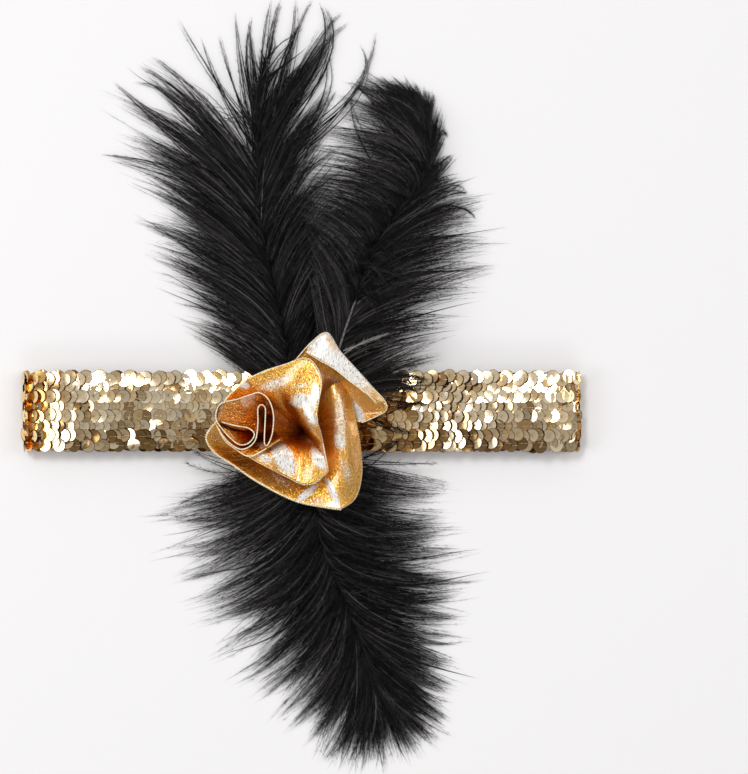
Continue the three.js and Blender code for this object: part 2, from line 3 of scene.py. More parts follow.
import bpy
import numpy as np
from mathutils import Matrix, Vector


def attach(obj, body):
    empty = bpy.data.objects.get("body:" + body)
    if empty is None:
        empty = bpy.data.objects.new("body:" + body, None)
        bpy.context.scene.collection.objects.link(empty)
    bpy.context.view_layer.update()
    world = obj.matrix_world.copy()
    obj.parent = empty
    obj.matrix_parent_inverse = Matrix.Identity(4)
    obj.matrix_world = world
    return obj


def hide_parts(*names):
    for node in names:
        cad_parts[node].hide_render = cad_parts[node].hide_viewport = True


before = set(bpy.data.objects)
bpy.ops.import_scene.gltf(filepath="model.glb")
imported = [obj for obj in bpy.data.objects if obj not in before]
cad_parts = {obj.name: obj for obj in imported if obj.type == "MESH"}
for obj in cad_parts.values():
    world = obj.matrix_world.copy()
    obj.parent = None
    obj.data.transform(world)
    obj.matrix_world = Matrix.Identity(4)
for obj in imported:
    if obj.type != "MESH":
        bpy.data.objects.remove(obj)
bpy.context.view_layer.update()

# A flapper headband lying flat: sequin band, folded ribbon rose, three plumes.
# Metres, floor at z = 0, the band along X, the two upper plumes towards +Y.
mm = 0.001
seed = 11
lowest = 0.05 * mm  # no sequin, stitch or barb lies nearer to the floor
upwards = np.array([0.0, 0.0, 1.0])

view = {
    "centre": (29.2 * mm, 9.6 * mm),
    "frameHeight": 309.6 * mm,
    "distance": 1.5,
    "focusLevel": 8 * mm,
}

studio = {
    "floorHalf": 3.0,
    "floorColor": (0.93, 0.915, 0.92),
    "brightSide": (-0.12, 0.50, 0.86),
    "sky": [(0.0, 0.26), (0.35, 0.27), (0.6, 0.34), (0.8, 0.45), (0.9, 0.52), (1.0, 0.66)],
    "lights": {
        "softbox": ((-0.4, 0.52, 1.4), (0.42, 0.36), 8.2),
        "side": ((0.95, 0.25, 1.1), (0.5, 0.8), 4.2),
        "left": ((-1.1, -0.1, 0.9), (0.5, 0.7), 4),
        "front": ((0.1, -1.1, 1.0), (0.9, 0.4), 2),
    },
}

band = {
    "length": 223 * mm,
    "width": 32.8 * mm,
    "height": 11.5 * mm,
    "fold": 9 * mm,
    "sequinDepth": 0.9 * mm,  # room that the sequins take outside the knit
    "knitWall": 1.4 * mm,
    "knitInset": 1.7 * mm,  # how far the knit stays inside the outline of the sequins
    "sequinRadius": 2.72 * mm,
    "sequinCup": 0.09 * mm,
    "holeRadius": 0.32 * mm,
    "pitch": 3.02 * mm,
    "lines": 8,
    "overlap": 8,  # degrees that a sequin leans on its neighbour
    "loose": 3.0,  # degrees that sequins turn by chance
    "looser": 11,  # the same for the few that have slipped
    "scallop": 1.1 * mm,  # how much further in every other sequin of the outer lines lies
    "slippedShare": 0.14,
    "sequinSides": 14,
    "shiftAlong": 0.3 * mm,
    "shiftAcross": 0.22 * mm,
    "pairShift": 0.35 * mm,  # neighbours lie in pairs
    "sequinLift": (0.2 * mm, 0.32 * mm),
    "lineLift": 0.34 * mm,  # every other line lies on top
    "threadHalf": 0.05 * mm,  # half the width of a stitch
}

rose = {
    "half": 35.8 * mm,
    "height": 26 * mm,
    "centre": (-1.8 * mm, -3.8 * mm),
    "level": 14.3 * mm,
    "wall": 0.5 * mm,
    "footRadius": 0.8 * mm,
    "footLevel": 1.5 * mm,
    "gather": (0.07, -0.12),
    "heartFoot": (-0.40, -0.06),
    "heartBottom": 0.1,
    "heartTop": 0.66,
    "hemRadius": 0.24 * mm,
    "stitchPitch": 1.1 * mm,
    "edgeRadius": 0.34 * mm,  # the lowest edge has coarser stitches
    "edgePitch": 1.0 * mm,
    "cupHem": 0.84,  # share of the cup's rim that shows its hem
    "uvStep": 0.37,  # moves the foil's pattern from one petal to the next
}

plume = {
    "span": 100 * mm,
    "level": 12.9 * mm,
    "quillRoot": 0.6 * mm,
    "quillTip": 0.2 * mm,
    "firstTuft": 0.06,
    "gather": 0.58,  # how much the strands of a tuft draw together
    "barbSteps": 11,
    "barbules": 70,
    "barbRoot": 0.55 * mm,
    "barbTip": 0.14 * mm,
    "barbuleWidth": 0.2 * mm,
    "barbuleLength": 2.1 * mm,
    "fluff": 2.2 * mm,
    "coverStrands": 24,  # short barbs that cross over the quill
    "coverBarbs": 4,
    "coverTone": 0.82,
    "blades": 4,
    "bladeWidth": 1.9 * mm,
    "tipLevel": 0.6 * mm,
    "rootWidth": 2.2,  # how wide a strand is at the quill, at the tip line and at the end,
    "tipWidth": 1.3,  # in steps from one strand to the next
    "endWidth": 0.9,
    "rootScatter": 0.022,
    "archScatter": 0.12,
    "coverReach": (0.25, 0.6),  # how far cover barbs reach towards the tip line
    "barbCut": (0.92, 1.04),  # the share of its strand at which a barb ends
    "bladeCut": (0.74, 0.86),
    "bandClear": 0.9 * mm,  # how far strands stay above the band, besides the next value
    "floorClear": 0.35 * mm,  # how far they stay above the floor
    "slopeEnd": 11 * mm,  # where the slope off the band meets the floor, past the band's edge
    "slopeLength": 10 * mm,
}

rng = np.random.default_rng(seed)


# Tables: each row is one place along the ribbon or the quill, as shares of a size.
def table(names, rows):
    return {name: np.array([row[i] for row in rows]) for i, name in enumerate(names)}


# A smooth column: cubic Hermite between rows, slopes from the rows on each side.
def column(rows, name, share):
    values = rows[name]
    spans = len(values) - 1
    place = np.clip(share, 0, 1) * spans
    i = np.minimum(place.astype(int), spans - 1)
    t = place - i
    at = lambda k: values[np.clip(k, 0, spans)]
    slopeStart = (at(i + 1) - at(i - 1)) / 2
    slopeEnd = (at(i + 2) - at(i)) / 2
    return (
        (2 * t**3 - 3 * t**2 + 1) * at(i)
        + (t**3 - 2 * t**2 + t) * slopeStart
        + (3 * t**2 - 2 * t**3) * at(i + 1)
        + (t**3 - t**2) * slopeEnd
    )


# Vectors divided by their lengths.
def unit(vectors):
    return vectors / np.maximum(np.linalg.norm(vectors, axis=-1, keepdims=True), 1e-12)


# Faces of a grid of rows x columns points, numbered row by row.
def gridFaces(rows, columns, closeRows=False, closeColumns=False):
    i = np.arange(rows if closeRows else rows - 1)[:, None]
    j = np.arange(columns if closeColumns else columns - 1)[None, :]
    iNext, jNext = (i + 1) % rows, (j + 1) % columns
    corners = [i * columns + j, iNext * columns + j, iNext * columns + jNext, i * columns + jNext]
    return np.stack(np.broadcast_arrays(*corners), axis=-1).reshape(-1, 4)


# A mesh object from whole arrays of points and faces, with optional UVs and attributes.
def meshPiece(name, points, faces, uv=None, smooth=True, attributes=None):
    mesh = bpy.data.meshes.new(name)
    corners = faces.shape[1]
    mesh.vertices.add(len(points))
    mesh.vertices.foreach_set("co", np.ascontiguousarray(points, np.float32).ravel())
    mesh.loops.add(faces.size)
    mesh.loops.foreach_set("vertex_index", np.ascontiguousarray(faces, np.int32).ravel())
    mesh.polygons.add(len(faces))
    mesh.polygons.foreach_set("loop_start", np.arange(0, faces.size, corners, dtype=np.int32))
    mesh.update(calc_edges=True)
    if smooth:
        mesh.polygons.foreach_set("use_smooth", np.ones(len(faces), bool))
    if uv is not None:
        layer = mesh.uv_layers.new(name="UVMap")
        layer.data.foreach_set("uv", uv[faces.ravel()].astype(np.float32).ravel())
    for key, values in (attributes or {}).items():
        layer = mesh.attributes.new(key, "FLOAT", "POINT")
        layer.data.foreach_set("value", values.astype(np.float32).ravel())
    mesh.validate()
    piece = bpy.data.objects.new(name, mesh)
    bpy.context.scene.collection.objects.link(piece)
    return piece


# Copies of one small shape: its points are turned by a frame of axes and moved.
def scatter(shapePoints, shapeFaces, places, axes):
    points = np.einsum("pk,nkc->npc", shapePoints, axes) + places[:, None, :]
    offsets = np.arange(len(places))[:, None, None] * len(shapePoints)
    faces = shapeFaces[None] + offsets
    return points.reshape(-1, 3), faces.reshape(-1, shapeFaces.shape[1])


# A tube: a circle of the given radii carried along a path, with its ends drawn in.
def tube(path, radii, sides, closed=False):
    if closed:
        forward = unit(np.roll(path, -1, 0) - np.roll(path, 1, 0))
    else:
        forward = unit(np.gradient(path, axis=0))
    side = unit(np.cross(forward, upwards + 0.01))
    up = np.cross(side, forward)
    angle = np.arange(sides) * 2 * np.pi / sides
    ring = side[:, None] * np.cos(angle)[None, :, None] + up[:, None] * np.sin(angle)[None, :, None]
    points = path[:, None] + ring * np.asarray(radii)[:, None, None]
    if not closed:
        points[0] = path[0] + (points[0] - path[0]) * 0.02
        points[-1] = path[-1] + (points[-1] - path[-1]) * 0.02
    return points.reshape(-1, 3), gridFaces(len(path), sides, closed, True)


# Several meshes as one, each face number raised by the points before it.
def joined(parts):
    points, faces, count = [], [], 0
    for partPoints, partFaces in parts:
        points.append(partPoints)
        faces.append(partFaces + count)
        count += len(partPoints)
    return np.concatenate(points), np.concatenate(faces)


# Materials

# A Principled material with its plain values set on the shader.
def newMaterial(name, baseColor, roughness, metallic):
    material = bpy.data.materials.new(name)
    material.use_nodes = True
    shader = material.node_tree.nodes["Principled BSDF"]
    shader.inputs["Base Color"].default_value = (*baseColor, 1)
    shader.inputs["Roughness"].default_value = roughness
    shader.inputs["Metallic"].default_value = metallic
    return material, material.node_tree, shader


# A node with its settings and input values.
def addNode(tree, kind, settings=None, inputs=None):
    node = tree.nodes.new(kind)
    for key, value in (settings or {}).items():
        setattr(node, key, value)
    for key, value in (inputs or {}).items():
        node.inputs[key].default_value = value
    return node


# A colour ramp from stops of place and colour.
def ramp(tree, stops):
    node = tree.nodes.new("ShaderNodeValToRGB")
    while len(node.color_ramp.elements) < len(stops):
        node.color_ramp.elements.new(0.5)
    for element, (place, color) in zip(node.color_ramp.elements, stops):
        element.position = place
        element.color = (*color, 1)
    return node


# A fibre's grain, used by thread, hem and quill: noise on Object coordinates, out as a mask.
def grainGroup():
    group = bpy.data.node_groups.new("fibre grain", "ShaderNodeTree")
    for name in ("Scale", "Detail"):
        group.interface.new_socket(name, in_out="INPUT", socket_type="NodeSocketFloat")
    group.interface.new_socket("Mask", in_out="OUTPUT", socket_type="NodeSocketFloat")
    values, result = addNode(group, "NodeGroupInput"), addNode(group, "NodeGroupOutput")
    coords, noise = addNode(group, "ShaderNodeTexCoord"), addNode(group, "ShaderNodeTexNoise")
    group.links.new(coords.outputs["Object"], noise.inputs["Vector"])
    group.links.new(values.outputs["Scale"], noise.inputs["Scale"])
    group.links.new(values.outputs["Detail"], noise.inputs["Detail"])
    group.links.new(noise.outputs["Fac"], result.inputs["Mask"])
    return group


# A material whose colour follows the grain through a ramp.
def fibreMaterial(name, plain, scale, stops):
    material, tree, shader = newMaterial(name, *plain)
    grain = addNode(tree, "ShaderNodeGroup", {"node_tree": fibreGrain}, {"Scale": scale, "Detail": 2.0})
    colors = ramp(tree, stops)
    tree.links.new(grain.outputs["Mask"], colors.inputs["Fac"])
    tree.links.new(colors.outputs["Color"], shader.inputs["Base Color"])
    return material


fibreGrain = grainGroup()


# Band: a loop path with elliptical folds, measured by its length.
def loopPath(outset, count):
    centreLevel = band["height"] / 2
    straight = band["length"] / 2 - band["fold"]
    fine = 4000
    turn = np.linspace(-math.pi / 2, math.pi / 2, fine)
    reach, rise = band["fold"] + outset, centreLevel + outset
    right = np.stack([straight + reach * np.cos(turn), rise * np.sin(turn)], 1)
    whole = np.concatenate([right, -right, right[:1]])
    steps = np.concatenate([[0], np.cumsum(np.linalg.norm(np.diff(whole, axis=0), axis=1))])
    at = np.arange(count) / count * steps[-1]
    x, z = np.interp(at, steps, whole[:, 0]), np.interp(at, steps, whole[:, 1])
    ahead = (at + 1e-4) % steps[-1]
    aheadX, aheadZ = np.interp(ahead, steps, whole[:, 0]), np.interp(ahead, steps, whole[:, 1])
    forward = unit(np.stack([aheadX - x, aheadZ - z], 1))
    out = np.stack([forward[:, 1], -forward[:, 0]], 1)
    return x, z + centreLevel, forward, out, steps[-1]


# The knit: a superellipse of half width and half wall, carried round the loop.
def makeBand():
    stations, profileSteps = 360, 40
    outset = -band["sequinDepth"]
    x, z, forward, out, length = loopPath(outset, stations)
    half = band["width"] / 2 - band["knitInset"]
    wall = band["knitWall"]
    # Profile: a rounded strip, as a superellipse of half width and half wall.
    angle = np.arange(profileSteps) * 2 * np.pi / profileSteps
    across = half * np.sign(np.cos(angle)) * np.abs(np.cos(angle)) ** 0.35
    depth = wall / 2 * (np.sign(np.sin(angle)) * np.abs(np.sin(angle)) ** 0.5 - 1)
    lift = np.broadcast_to(depth[None], (stations, profileSteps))
    points = np.stack(
        [
            x[:, None] + out[:, :1] * lift,
            np.broadcast_to(across[None], lift.shape),
            z[:, None] + out[:, 1:] * lift,
        ],
        axis=-1,
    )
    uv = np.stack(np.broadcast_arrays(np.arange(stations)[:, None] / stations * length, across[None]), -1)
    share = points[..., 0].ravel() / (band["length"] / 2)
    # Amber along the knit; at the left fold end it is painted shading of the fold.
    attributes = {"warm": np.interp(share, drape["x"], drape["warm"])}
    faces = gridFaces(stations, profileSteps, True, True)[:, ::-1]
    knit = meshPiece("band_knit", points.reshape(-1, 3), faces, uv.reshape(-1, 2), attributes=attributes)
    return knit, length


# Sequin: a shallow cup about a small hole.
def sequinShape(sides):
    radius, cup, hole = band["sequinRadius"], band["sequinCup"], band["holeRadius"]
    rings = [(hole, 0.0), (radius * 0.6, cup * 0.3), (radius * 0.9, cup * 0.85), (radius, cup)]
    angle = np.arange(sides) * 2 * np.pi / sides
    points = [np.stack([r * np.cos(angle), r * np.sin(angle), np.full(sides, h)], 1) for r, h in rings]
    # How dark each ring is: painted shadow at the rim, none in the middle, a little darker at the hole.
    rim = np.repeat(np.array([0.4, 0.0, 0.0, 1.0]), sides)
    return np.concatenate(points), gridFaces(len(rings), sides, False, True), rim


# How the trim lies along its length: x as a share of the half length, then in degrees
# the lean to the right, the dip towards +Y and the roundness across the width, how much
# amber the sequins and knit take, which at the left fold end is painted shading of the fold, and how much
# painted shade darkens the lowest lines.
drape = table(("x", "lean", "dip", "round", "warm", "shade"), [
    (-1.00, -14, 0, 4, 1.0, 0.0),
    (-0.93, -12, 1, 4, 0.95, 0.1),
    (-0.87, -8, 3, 4, 0.1, 0.1),
    (-0.78, 0, -2, 6, 0.0, 0.1),
    (-0.66, 3, -3, 8, 0.0, 0.4),
    (-0.52, 3, -4, 10, 0.05, 1.0),
    (-0.30, 2, -4, 13, 0.15, 1.1),
    (0.10, 0, 0, 8, 0.6, 1.0),
    (0.36, -6, -1, 8, 0.4, 0.7),
    (0.50, -12, 4, 5, 0.0, 0.4),
    (0.64, -8, 2, 10, 0.0, 0.5),
    (0.84, -4, 0, 10, 0.0, 0.4),
    (0.93, 3, 2, 6, 0.1, 0.1),
    (1.00, 10, 0, 4, 0.3, 0.0),
])


# Places and axes of the sequins: even steps round the loop in offset lines, each shifted at
# random, its normal leant by the drape and by chance.
def sequinPlaces():
    outset = -band["sequinDepth"] + 0.12 * mm
    length = loopPath(outset, 8)[4]
    perLine = int(round(length / band["pitch"]))
    lines = band["lines"]
    x, z, forward, out, _ = loopPath(outset, perLine * 2)
    line = np.arange(lines)[:, None]
    pick = np.arange(perLine)[None] * 2 + line % 2
    pairing = np.where(np.arange(perLine)[None] % 2 == 0, 1.0, -1.0)
    x, z, forward, out = x[pick], z[pick], forward[pick], out[pick]
    level = np.broadcast_to((line + 0.5) / lines * 2 - 1, x.shape)
    y = level * (band["width"] / 2 - band["sequinRadius"]) * lines / (lines - 1)
    zero = np.zeros_like(x)
    outward = np.stack([out[..., 0], zero, out[..., 1]], -1)
    right = np.stack([forward[..., 0], zero, forward[..., 1]], -1) * np.where(out[..., 1:] > 0, -1.0, 1.0)
    side = np.broadcast_to(np.array([0.0, 1.0, 0.0]), outward.shape)
    outerLine = (line == 0) | (line == lines - 1)
    y = y - np.sign(y) * np.where(outerLine & (pairing > 0), band["scallop"], 0)
    place = np.stack([x, y, z], -1)
    shift = rng.normal(0, band["shiftAlong"], x.shape) + pairing * band["pairShift"]
    place = place + right * shift[..., None]
    place = place + side * rng.normal(0, band["shiftAcross"], x.shape)[..., None]
    lift = rng.uniform(*band["sequinLift"], x.shape) + band["lineLift"] * (line % 2)
    place = place + outward * lift[..., None]
    share = x / (band["length"] / 2)
    read = lambda name: np.interp(share, drape["x"], drape[name])
    slipped = np.where(rng.random(x.shape) < band["slippedShare"], band["looser"], band["loose"])
    lean = read("lean") - band["overlap"] + rng.normal(0, 1, x.shape) * slipped
    dip = read("dip") + read("round") * level + rng.normal(0, 1, x.shape) * slipped
    tilted = right * np.tan(np.radians(lean))[..., None] + side * np.tan(np.radians(dip))[..., None]
    normal = unit(outward + tilted).reshape(-1, 3)
    first = unit(np.cross(side.reshape(-1, 3), normal))
    second = np.cross(normal, first)
    # Amber from the drape, painted shading of the fold at the left end; painted shade is taken off a random
    # tone to darken the lowest lines.
    warm = np.clip(read("warm") + rng.normal(0, 0.15, x.shape), 0, 1)
    shade = np.clip(-level - 0.25, 0, 1) * read("shade") * rng.uniform(0.5, 1.1, x.shape)
    tone = np.clip(rng.random(x.shape) - shade, 0, 1)
    return place.reshape(-1, 3), np.stack([first, second, normal], 1), warm.ravel(), tone.ravel()


# Stitch: a fine bowed strip from the hole to the rim.
def stitchShape():
    radius, wide = band["sequinRadius"], band["threadHalf"]
    run = np.array([-0.1, 0.25, 0.65, 1.02])
    height = np.array([0.0, 0.28, 0.32, 0.1]) * mm
    left = np.stack([run * radius, np.full(4, wide), height], 1)
    right = np.stack([run * radius, np.full(4, -wide), height], 1)
    return np.stack([right, left], 1).reshape(-1, 3), gridFaces(4, 2)


# Sequins and stitches: one shape each, copied to every place.
def makeSequins():
    places, axes, warm, tone = sequinPlaces()
    shapePoints, shapeFaces, rim = sequinShape(band["sequinSides"])
    points, faces = scatter(shapePoints, shapeFaces, places, axes)
    points[:, 2] = np.maximum(points[:, 2], lowest)
    each = len(shapePoints)
    print("sequins", len(places))
    attributes = {
        "tone": np.repeat(tone, each),
        "warm": np.repeat(warm, each),
        "rim": np.tile(rim, len(places)),
    }
    sequins = meshPiece("band_sequins", points, faces[:, ::-1], attributes=attributes)
    stitchPoints, stitchFaces = stitchShape()
    points, faces = scatter(stitchPoints, stitchFaces, places, axes)
    points[:, 2] = np.maximum(points[:, 2], lowest)
    stitches = meshPiece("band_stitches", points, faces[:, ::-1])
    return sequins, stitches


# A diagonal wave in UV, dark knit or gold by the warm attribute, whose gold at the left fold end is painted
# shading of the fold.
def knitMaterial():
    material, tree, shader = newMaterial("knit backing", (0.2, 0.12, 0.05), 0.8, 0)
    coords = addNode(tree, "ShaderNodeUVMap")
    scale = addNode(tree, "ShaderNodeMapping", inputs={"Scale": (1200, 1200, 1)})
    weave = {"Scale": 0.5, "Distortion": 2.0}
    wave = addNode(tree, "ShaderNodeTexWave", {"bands_direction": "DIAGONAL"}, weave)
    colors = ramp(tree, [(0.0, (0.10, 0.055, 0.02)), (1.0, (0.34, 0.22, 0.10))])
    golds = ramp(tree, [(0.0, (0.45, 0.22, 0.05)), (1.0, (0.95, 0.66, 0.28))])
    warm = addNode(tree, "ShaderNodeAttribute", {"attribute_name": "warm"})
    mix = addNode(tree, "ShaderNodeMix", {"data_type": "RGBA"})
    bump = addNode(tree, "ShaderNodeBump", inputs={"Strength": 0.5, "Distance": 0.0003})
    tree.links.new(coords.outputs["UV"], scale.inputs["Vector"])
    tree.links.new(scale.outputs["Vector"], wave.inputs["Vector"])
    tree.links.new(wave.outputs["Fac"], colors.inputs["Fac"])
    tree.links.new(wave.outputs["Fac"], golds.inputs["Fac"])
    tree.links.new(warm.outputs["Fac"], mix.inputs["Factor"])
    tree.links.new(colors.outputs["Color"], mix.inputs["A"])
    tree.links.new(golds.outputs["Color"], mix.inputs["B"])
    tree.links.new(mix.outputs["Result"], shader.inputs["Base Color"])
    tree.links.new(wave.outputs["Fac"], bump.inputs["Height"])
    tree.links.new(bump.outputs["Normal"], shader.inputs["Normal"])
    return material


# Champagne or amber foil by tone and warm, with painted shadow darkening it towards the rim.
def sequinMaterial():
    material, tree, shader = newMaterial("champagne sequin", (0.9, 0.7, 0.4), 0.12, 1)
    tone = addNode(tree, "ShaderNodeAttribute", {"attribute_name": "tone"})
    warm = addNode(tree, "ShaderNodeAttribute", {"attribute_name": "warm"})
    champagne = ramp(tree, [
        (0.0, (0.32, 0.19, 0.08)), (0.12, (0.68, 0.48, 0.26)),
        (0.4, (0.93, 0.73, 0.46)), (1.0, (1.0, 0.86, 0.64)),
    ])
    amber = ramp(tree, [(0.0, (0.66, 0.33, 0.08)), (0.5, (0.92, 0.6, 0.22)), (1.0, (0.98, 0.8, 0.46))])
    mix = addNode(tree, "ShaderNodeMix", {"data_type": "RGBA"})
    coords = addNode(tree, "ShaderNodeTexCoord")
    dents = addNode(tree, "ShaderNodeTexNoise", inputs={"Scale": 420.0, "Detail": 1.0})
    bump = addNode(tree, "ShaderNodeBump", inputs={"Strength": 0.1, "Distance": 0.00015})
    # Painted shadow along each sequin's edge: the rim ring goes nearly black.
    rim = addNode(tree, "ShaderNodeAttribute", {"attribute_name": "rim"})
    edge = ramp(tree, [(0.0, (1, 1, 1)), (0.35, (0.86, 0.82, 0.76)), (1.0, (0.08, 0.05, 0.02))])
    shaded = addNode(tree, "ShaderNodeMix", {"data_type": "RGBA", "blend_type": "MULTIPLY"}, {"Factor": 1.0})
    tree.links.new(tone.outputs["Fac"], champagne.inputs["Fac"])
    tree.links.new(tone.outputs["Fac"], amber.inputs["Fac"])
    tree.links.new(warm.outputs["Fac"], mix.inputs["Factor"])
    tree.links.new(champagne.outputs["Color"], mix.inputs["A"])
    tree.links.new(amber.outputs["Color"], mix.inputs["B"])
    tree.links.new(rim.outputs["Fac"], edge.inputs["Fac"])
    tree.links.new(mix.outputs["Result"], shaded.inputs["A"])
    tree.links.new(edge.outputs["Color"], shaded.inputs["B"])
    tree.links.new(shaded.outputs["Result"], shader.inputs["Base Color"])
    tree.links.new(coords.outputs["Object"], dents.inputs["Vector"])
    tree.links.new(dents.outputs["Fac"], bump.inputs["Height"])
    tree.links.new(bump.outputs["Normal"], shader.inputs["Normal"])
    return material


# Gold thread, its colour following the grain.
def stitchMaterial():
    stops = [(0.35, (0.35, 0.22, 0.08)), (0.65, (0.85, 0.68, 0.42))]
    return fibreMaterial("gold thread", ((0.7, 0.5, 0.25), 0.45, 0.4), 2500.0, stops)


# Rose
petalNames = ("rimX", "rimY", "rimZ", "bellyX", "bellyY", "bellyZ")
petals = {
    "collar": table(petalNames, [
        (-0.53, 0.46, 0.50, -0.44, 0.34, 0.42),
        (-0.77, 0.24, 0.47, -0.60, 0.16, 0.34),
        (-0.87, -0.01, 0.45, -0.65, -0.10, 0.28),
    ]),
    "outer": table(petalNames, [
        (-0.87, 0.00, 0.44, -0.66, -0.08, 0.28),
        (-0.99, -0.17, 0.36, -0.71, -0.22, 0.18),
        (-0.91, -0.34, 0.30, -0.63, -0.33, 0.12),
        (-0.71, -0.48, 0.28, -0.48, -0.43, 0.10),
        (-0.40, -0.69, 0.28, -0.24, -0.53, 0.10),
        (-0.02, -0.88, 0.30, 0.03, -0.61, 0.13),
        (0.29, -0.95, 0.33, 0.24, -0.65, 0.19),
        (0.51, -0.98, 0.38, 0.38, -0.68, 0.28),
    ]),
    "side": table(petalNames, [
        (0.50, -0.97, 0.41, 0.41, -0.78, 0.42),
        (0.66, -0.85, 0.34, 0.50, -0.62, 0.48),
        (0.73, -0.58, 0.32, 0.52, -0.40, 0.54),
        (0.71, -0.26, 0.34, 0.51, -0.14, 0.58),
        (0.66, 0.02, 0.38, 0.48, 0.11, 0.60),
        (0.60, 0.27, 0.42, 0.45, 0.28, 0.60),
        (0.51, 0.42, 0.46, 0.41, 0.40, 0.56),
    ]),
    "cup": table(petalNames, [
        (-0.87, -0.04, 0.60, -0.65, -0.12, 0.42),
        (-0.78, -0.21, 0.57, -0.57, -0.21, 0.38),
        (-0.66, -0.31, 0.55, -0.49, -0.26, 0.36),
        (-0.51, -0.39, 0.54, -0.38, -0.29, 0.46),
        (-0.35, -0.32, 0.54, -0.27, -0.24, 0.45),
        (-0.18, -0.21, 0.46, -0.15, -0.18, 0.38),
    ]),
    "middle": table(petalNames, [
        (-0.66, -0.30, 0.44, -0.44, -0.30, 0.38),
        (-0.44, -0.44, 0.42, -0.30, -0.34, 0.42),
        (-0.23, -0.55, 0.44, -0.15, -0.32, 0.50),
        (-0.05, -0.64, 0.47, -0.03, -0.31, 0.46),
        (0.03, -0.68, 0.48, 0.05, -0.33, 0.38),
        (0.12, -0.70, 0.52, 0.12, -0.33, 0.46),
        (0.23, -0.67, 0.56, 0.20, -0.34, 0.56),
        (0.37, -0.54, 0.62, 0.30, -0.37, 0.60),
    ]),
    "upper": table(petalNames, [
        (-0.53, 0.46, 0.56, -0.40, 0.30, 0.48),
        (-0.34, 0.55, 0.62, -0.24, 0.24, 0.50),
        (-0.12, 0.62, 0.70, -0.13, 0.26, 0.56),
        (0.12, 0.69, 0.80, -0.04, 0.21, 0.68),
        (0.25, 0.57, 0.86, 0.05, 0.10, 0.80),
        (0.29, 0.41, 0.90, 0.14, -0.01, 0.86),
        (0.26, 0.22, 0.92, 0.20, -0.09, 0.88),
        (0.24, 0.03, 0.90, 0.27, -0.18, 0.84),
        (0.29, -0.17, 0.82, 0.30, -0.28, 0.74),
        (0.36, -0.53, 0.64, 0.34, -0.49, 0.51),
    ]),
    "tail": table(petalNames, [
        (0.01, 0.68, 0.60, -0.01, 0.67, 0.56),
        (0.18, 0.87, 0.62, 0.12, 0.66, 0.52),
        (0.35, 0.97, 0.64, 0.26, 0.60, 0.48),
        (0.49, 0.77, 0.66, 0.38, 0.50, 0.44),
        (0.67, 0.57, 0.66, 0.50, 0.36, 0.42),
        (0.85, 0.37, 0.62, 0.60, 0.24, 0.38),
        (0.99, 0.21, 0.56, 0.68, 0.14, 0.34),
        (0.98, 0.10, 0.48, 0.68, 0.06, 0.30),
        (0.73, -0.02, 0.36, 0.56, 0.00, 0.26),
    ]),
}
flap = table(petalNames, [
    (0.16, 0.84, 0.63, 0.12, 0.76, 0.70),
    (0.35, 0.97, 0.65, 0.28, 0.66, 0.74),
    (0.49, 0.77, 0.67, 0.44, 0.57, 0.76),
    (0.67, 0.57, 0.67, 0.60, 0.44, 0.74),
    (0.85, 0.37, 0.63, 0.80, 0.29, 0.69),
    (0.98, 0.22, 0.57, 0.90, 0.19, 0.62),
])
heart = table(("x", "y"), [
    (-0.81, -0.01), (-0.66, -0.05), (-0.51, -0.08), (-0.45, -0.15), (-0.51, -0.24),
    (-0.61, -0.26), (-0.71, -0.19), (-0.81, -0.08), (-0.87, 0.02), (-0.86, 0.13),
    (-0.80, 0.20), (-0.64, 0.24), (-0.49, 0.29), (-0.39, 0.31), (-0.29, 0.23),
    (-0.24, 0.07), (-0.25, -0.12), (-0.29, -0.24), (-0.32, -0.27), (-0.34, -0.22),
    (-0.33, 0.02), (-0.33, 0.14), (-0.37, 0.18), (-0.41, 0.14), (-0.41, 0.00),
    (-0.42, -0.13), (-0.445, -0.22), (-0.51, -0.285), (-0.60, -0.31), (-0.70, -0.26),
    (-0.79, -0.17), (-0.85, -0.07),
])


# Painted highlights: soft oval spots on each petal where the foil is painted silver-white as if it caught
# the lamps, by their centre in the rose's shares, half length, half width, turn in degrees and strength.
spotNames = ("x", "y", "long", "short", "turn", "amount")
highlightSpots = {
    "collar": table(spotNames, [(-0.56, 0.39, 0.06, 0.04, 0, 1.0), (-0.81, 0.24, 0.07, 0.03, 20, 0.9)]),
    "outer": table(spotNames, [
        (0.12, -0.81, 0.16, 0.045, 39, 1.0),
        (0.40, -0.75, 0.22, 0.05, -68, 1.0),
        (-0.17, -0.66, 0.20, 0.06, -35, 0.4),
        (0.24, -0.90, 0.12, 0.08, 0, 0.4),
    ]),
    "side": table(spotNames, [
        (0.49, 0.00, 0.42, 0.09, -87, 0.5),
        (0.49, -0.21, 0.12, 0.07, -80, 0.8),
        (0.55, -0.55, 0.20, 0.08, -70, 0.42),
        (0.42, -0.80, 0.18, 0.04, -68, 1.0),
    ]),
    "middle": table(spotNames, [
        (-0.13, -0.41, 0.23, 0.11, -60, 1.0),
        (0.26, -0.42, 0.15, 0.07, -60, 0.9),
        (-0.34, -0.41, 0.12, 0.07, -30, 0.6),
        (0.18, -0.20, 0.12, 0.08, -60, 0.45),
    ]),
    "upper": table(spotNames, [
        (0.10, 0.22, 0.16, 0.09, 0, 1.0),
        (0.16, 0.09, 0.16, 0.06, -65, 1.0),
        (-0.22, 0.41, 0.26, 0.08, 19, 0.55),
        (0.08, 0.39, 0.14, 0.05, 10, 0.45),
    ]),
    "cup": table(spotNames, [(-0.37, -0.27, 0.11, 0.05, 0, 0.5)]),
    "tail": table(spotNames, [(0.69, 0.10, 0.14, 0.06, -60, 1.0), (0.42, 0.46, 0.15, 0.05, -30, 0.4)]),
    "flap": table(spotNames, [(0.44, 0.72, 0.62, 0.22, -42, 0.85)]),
}
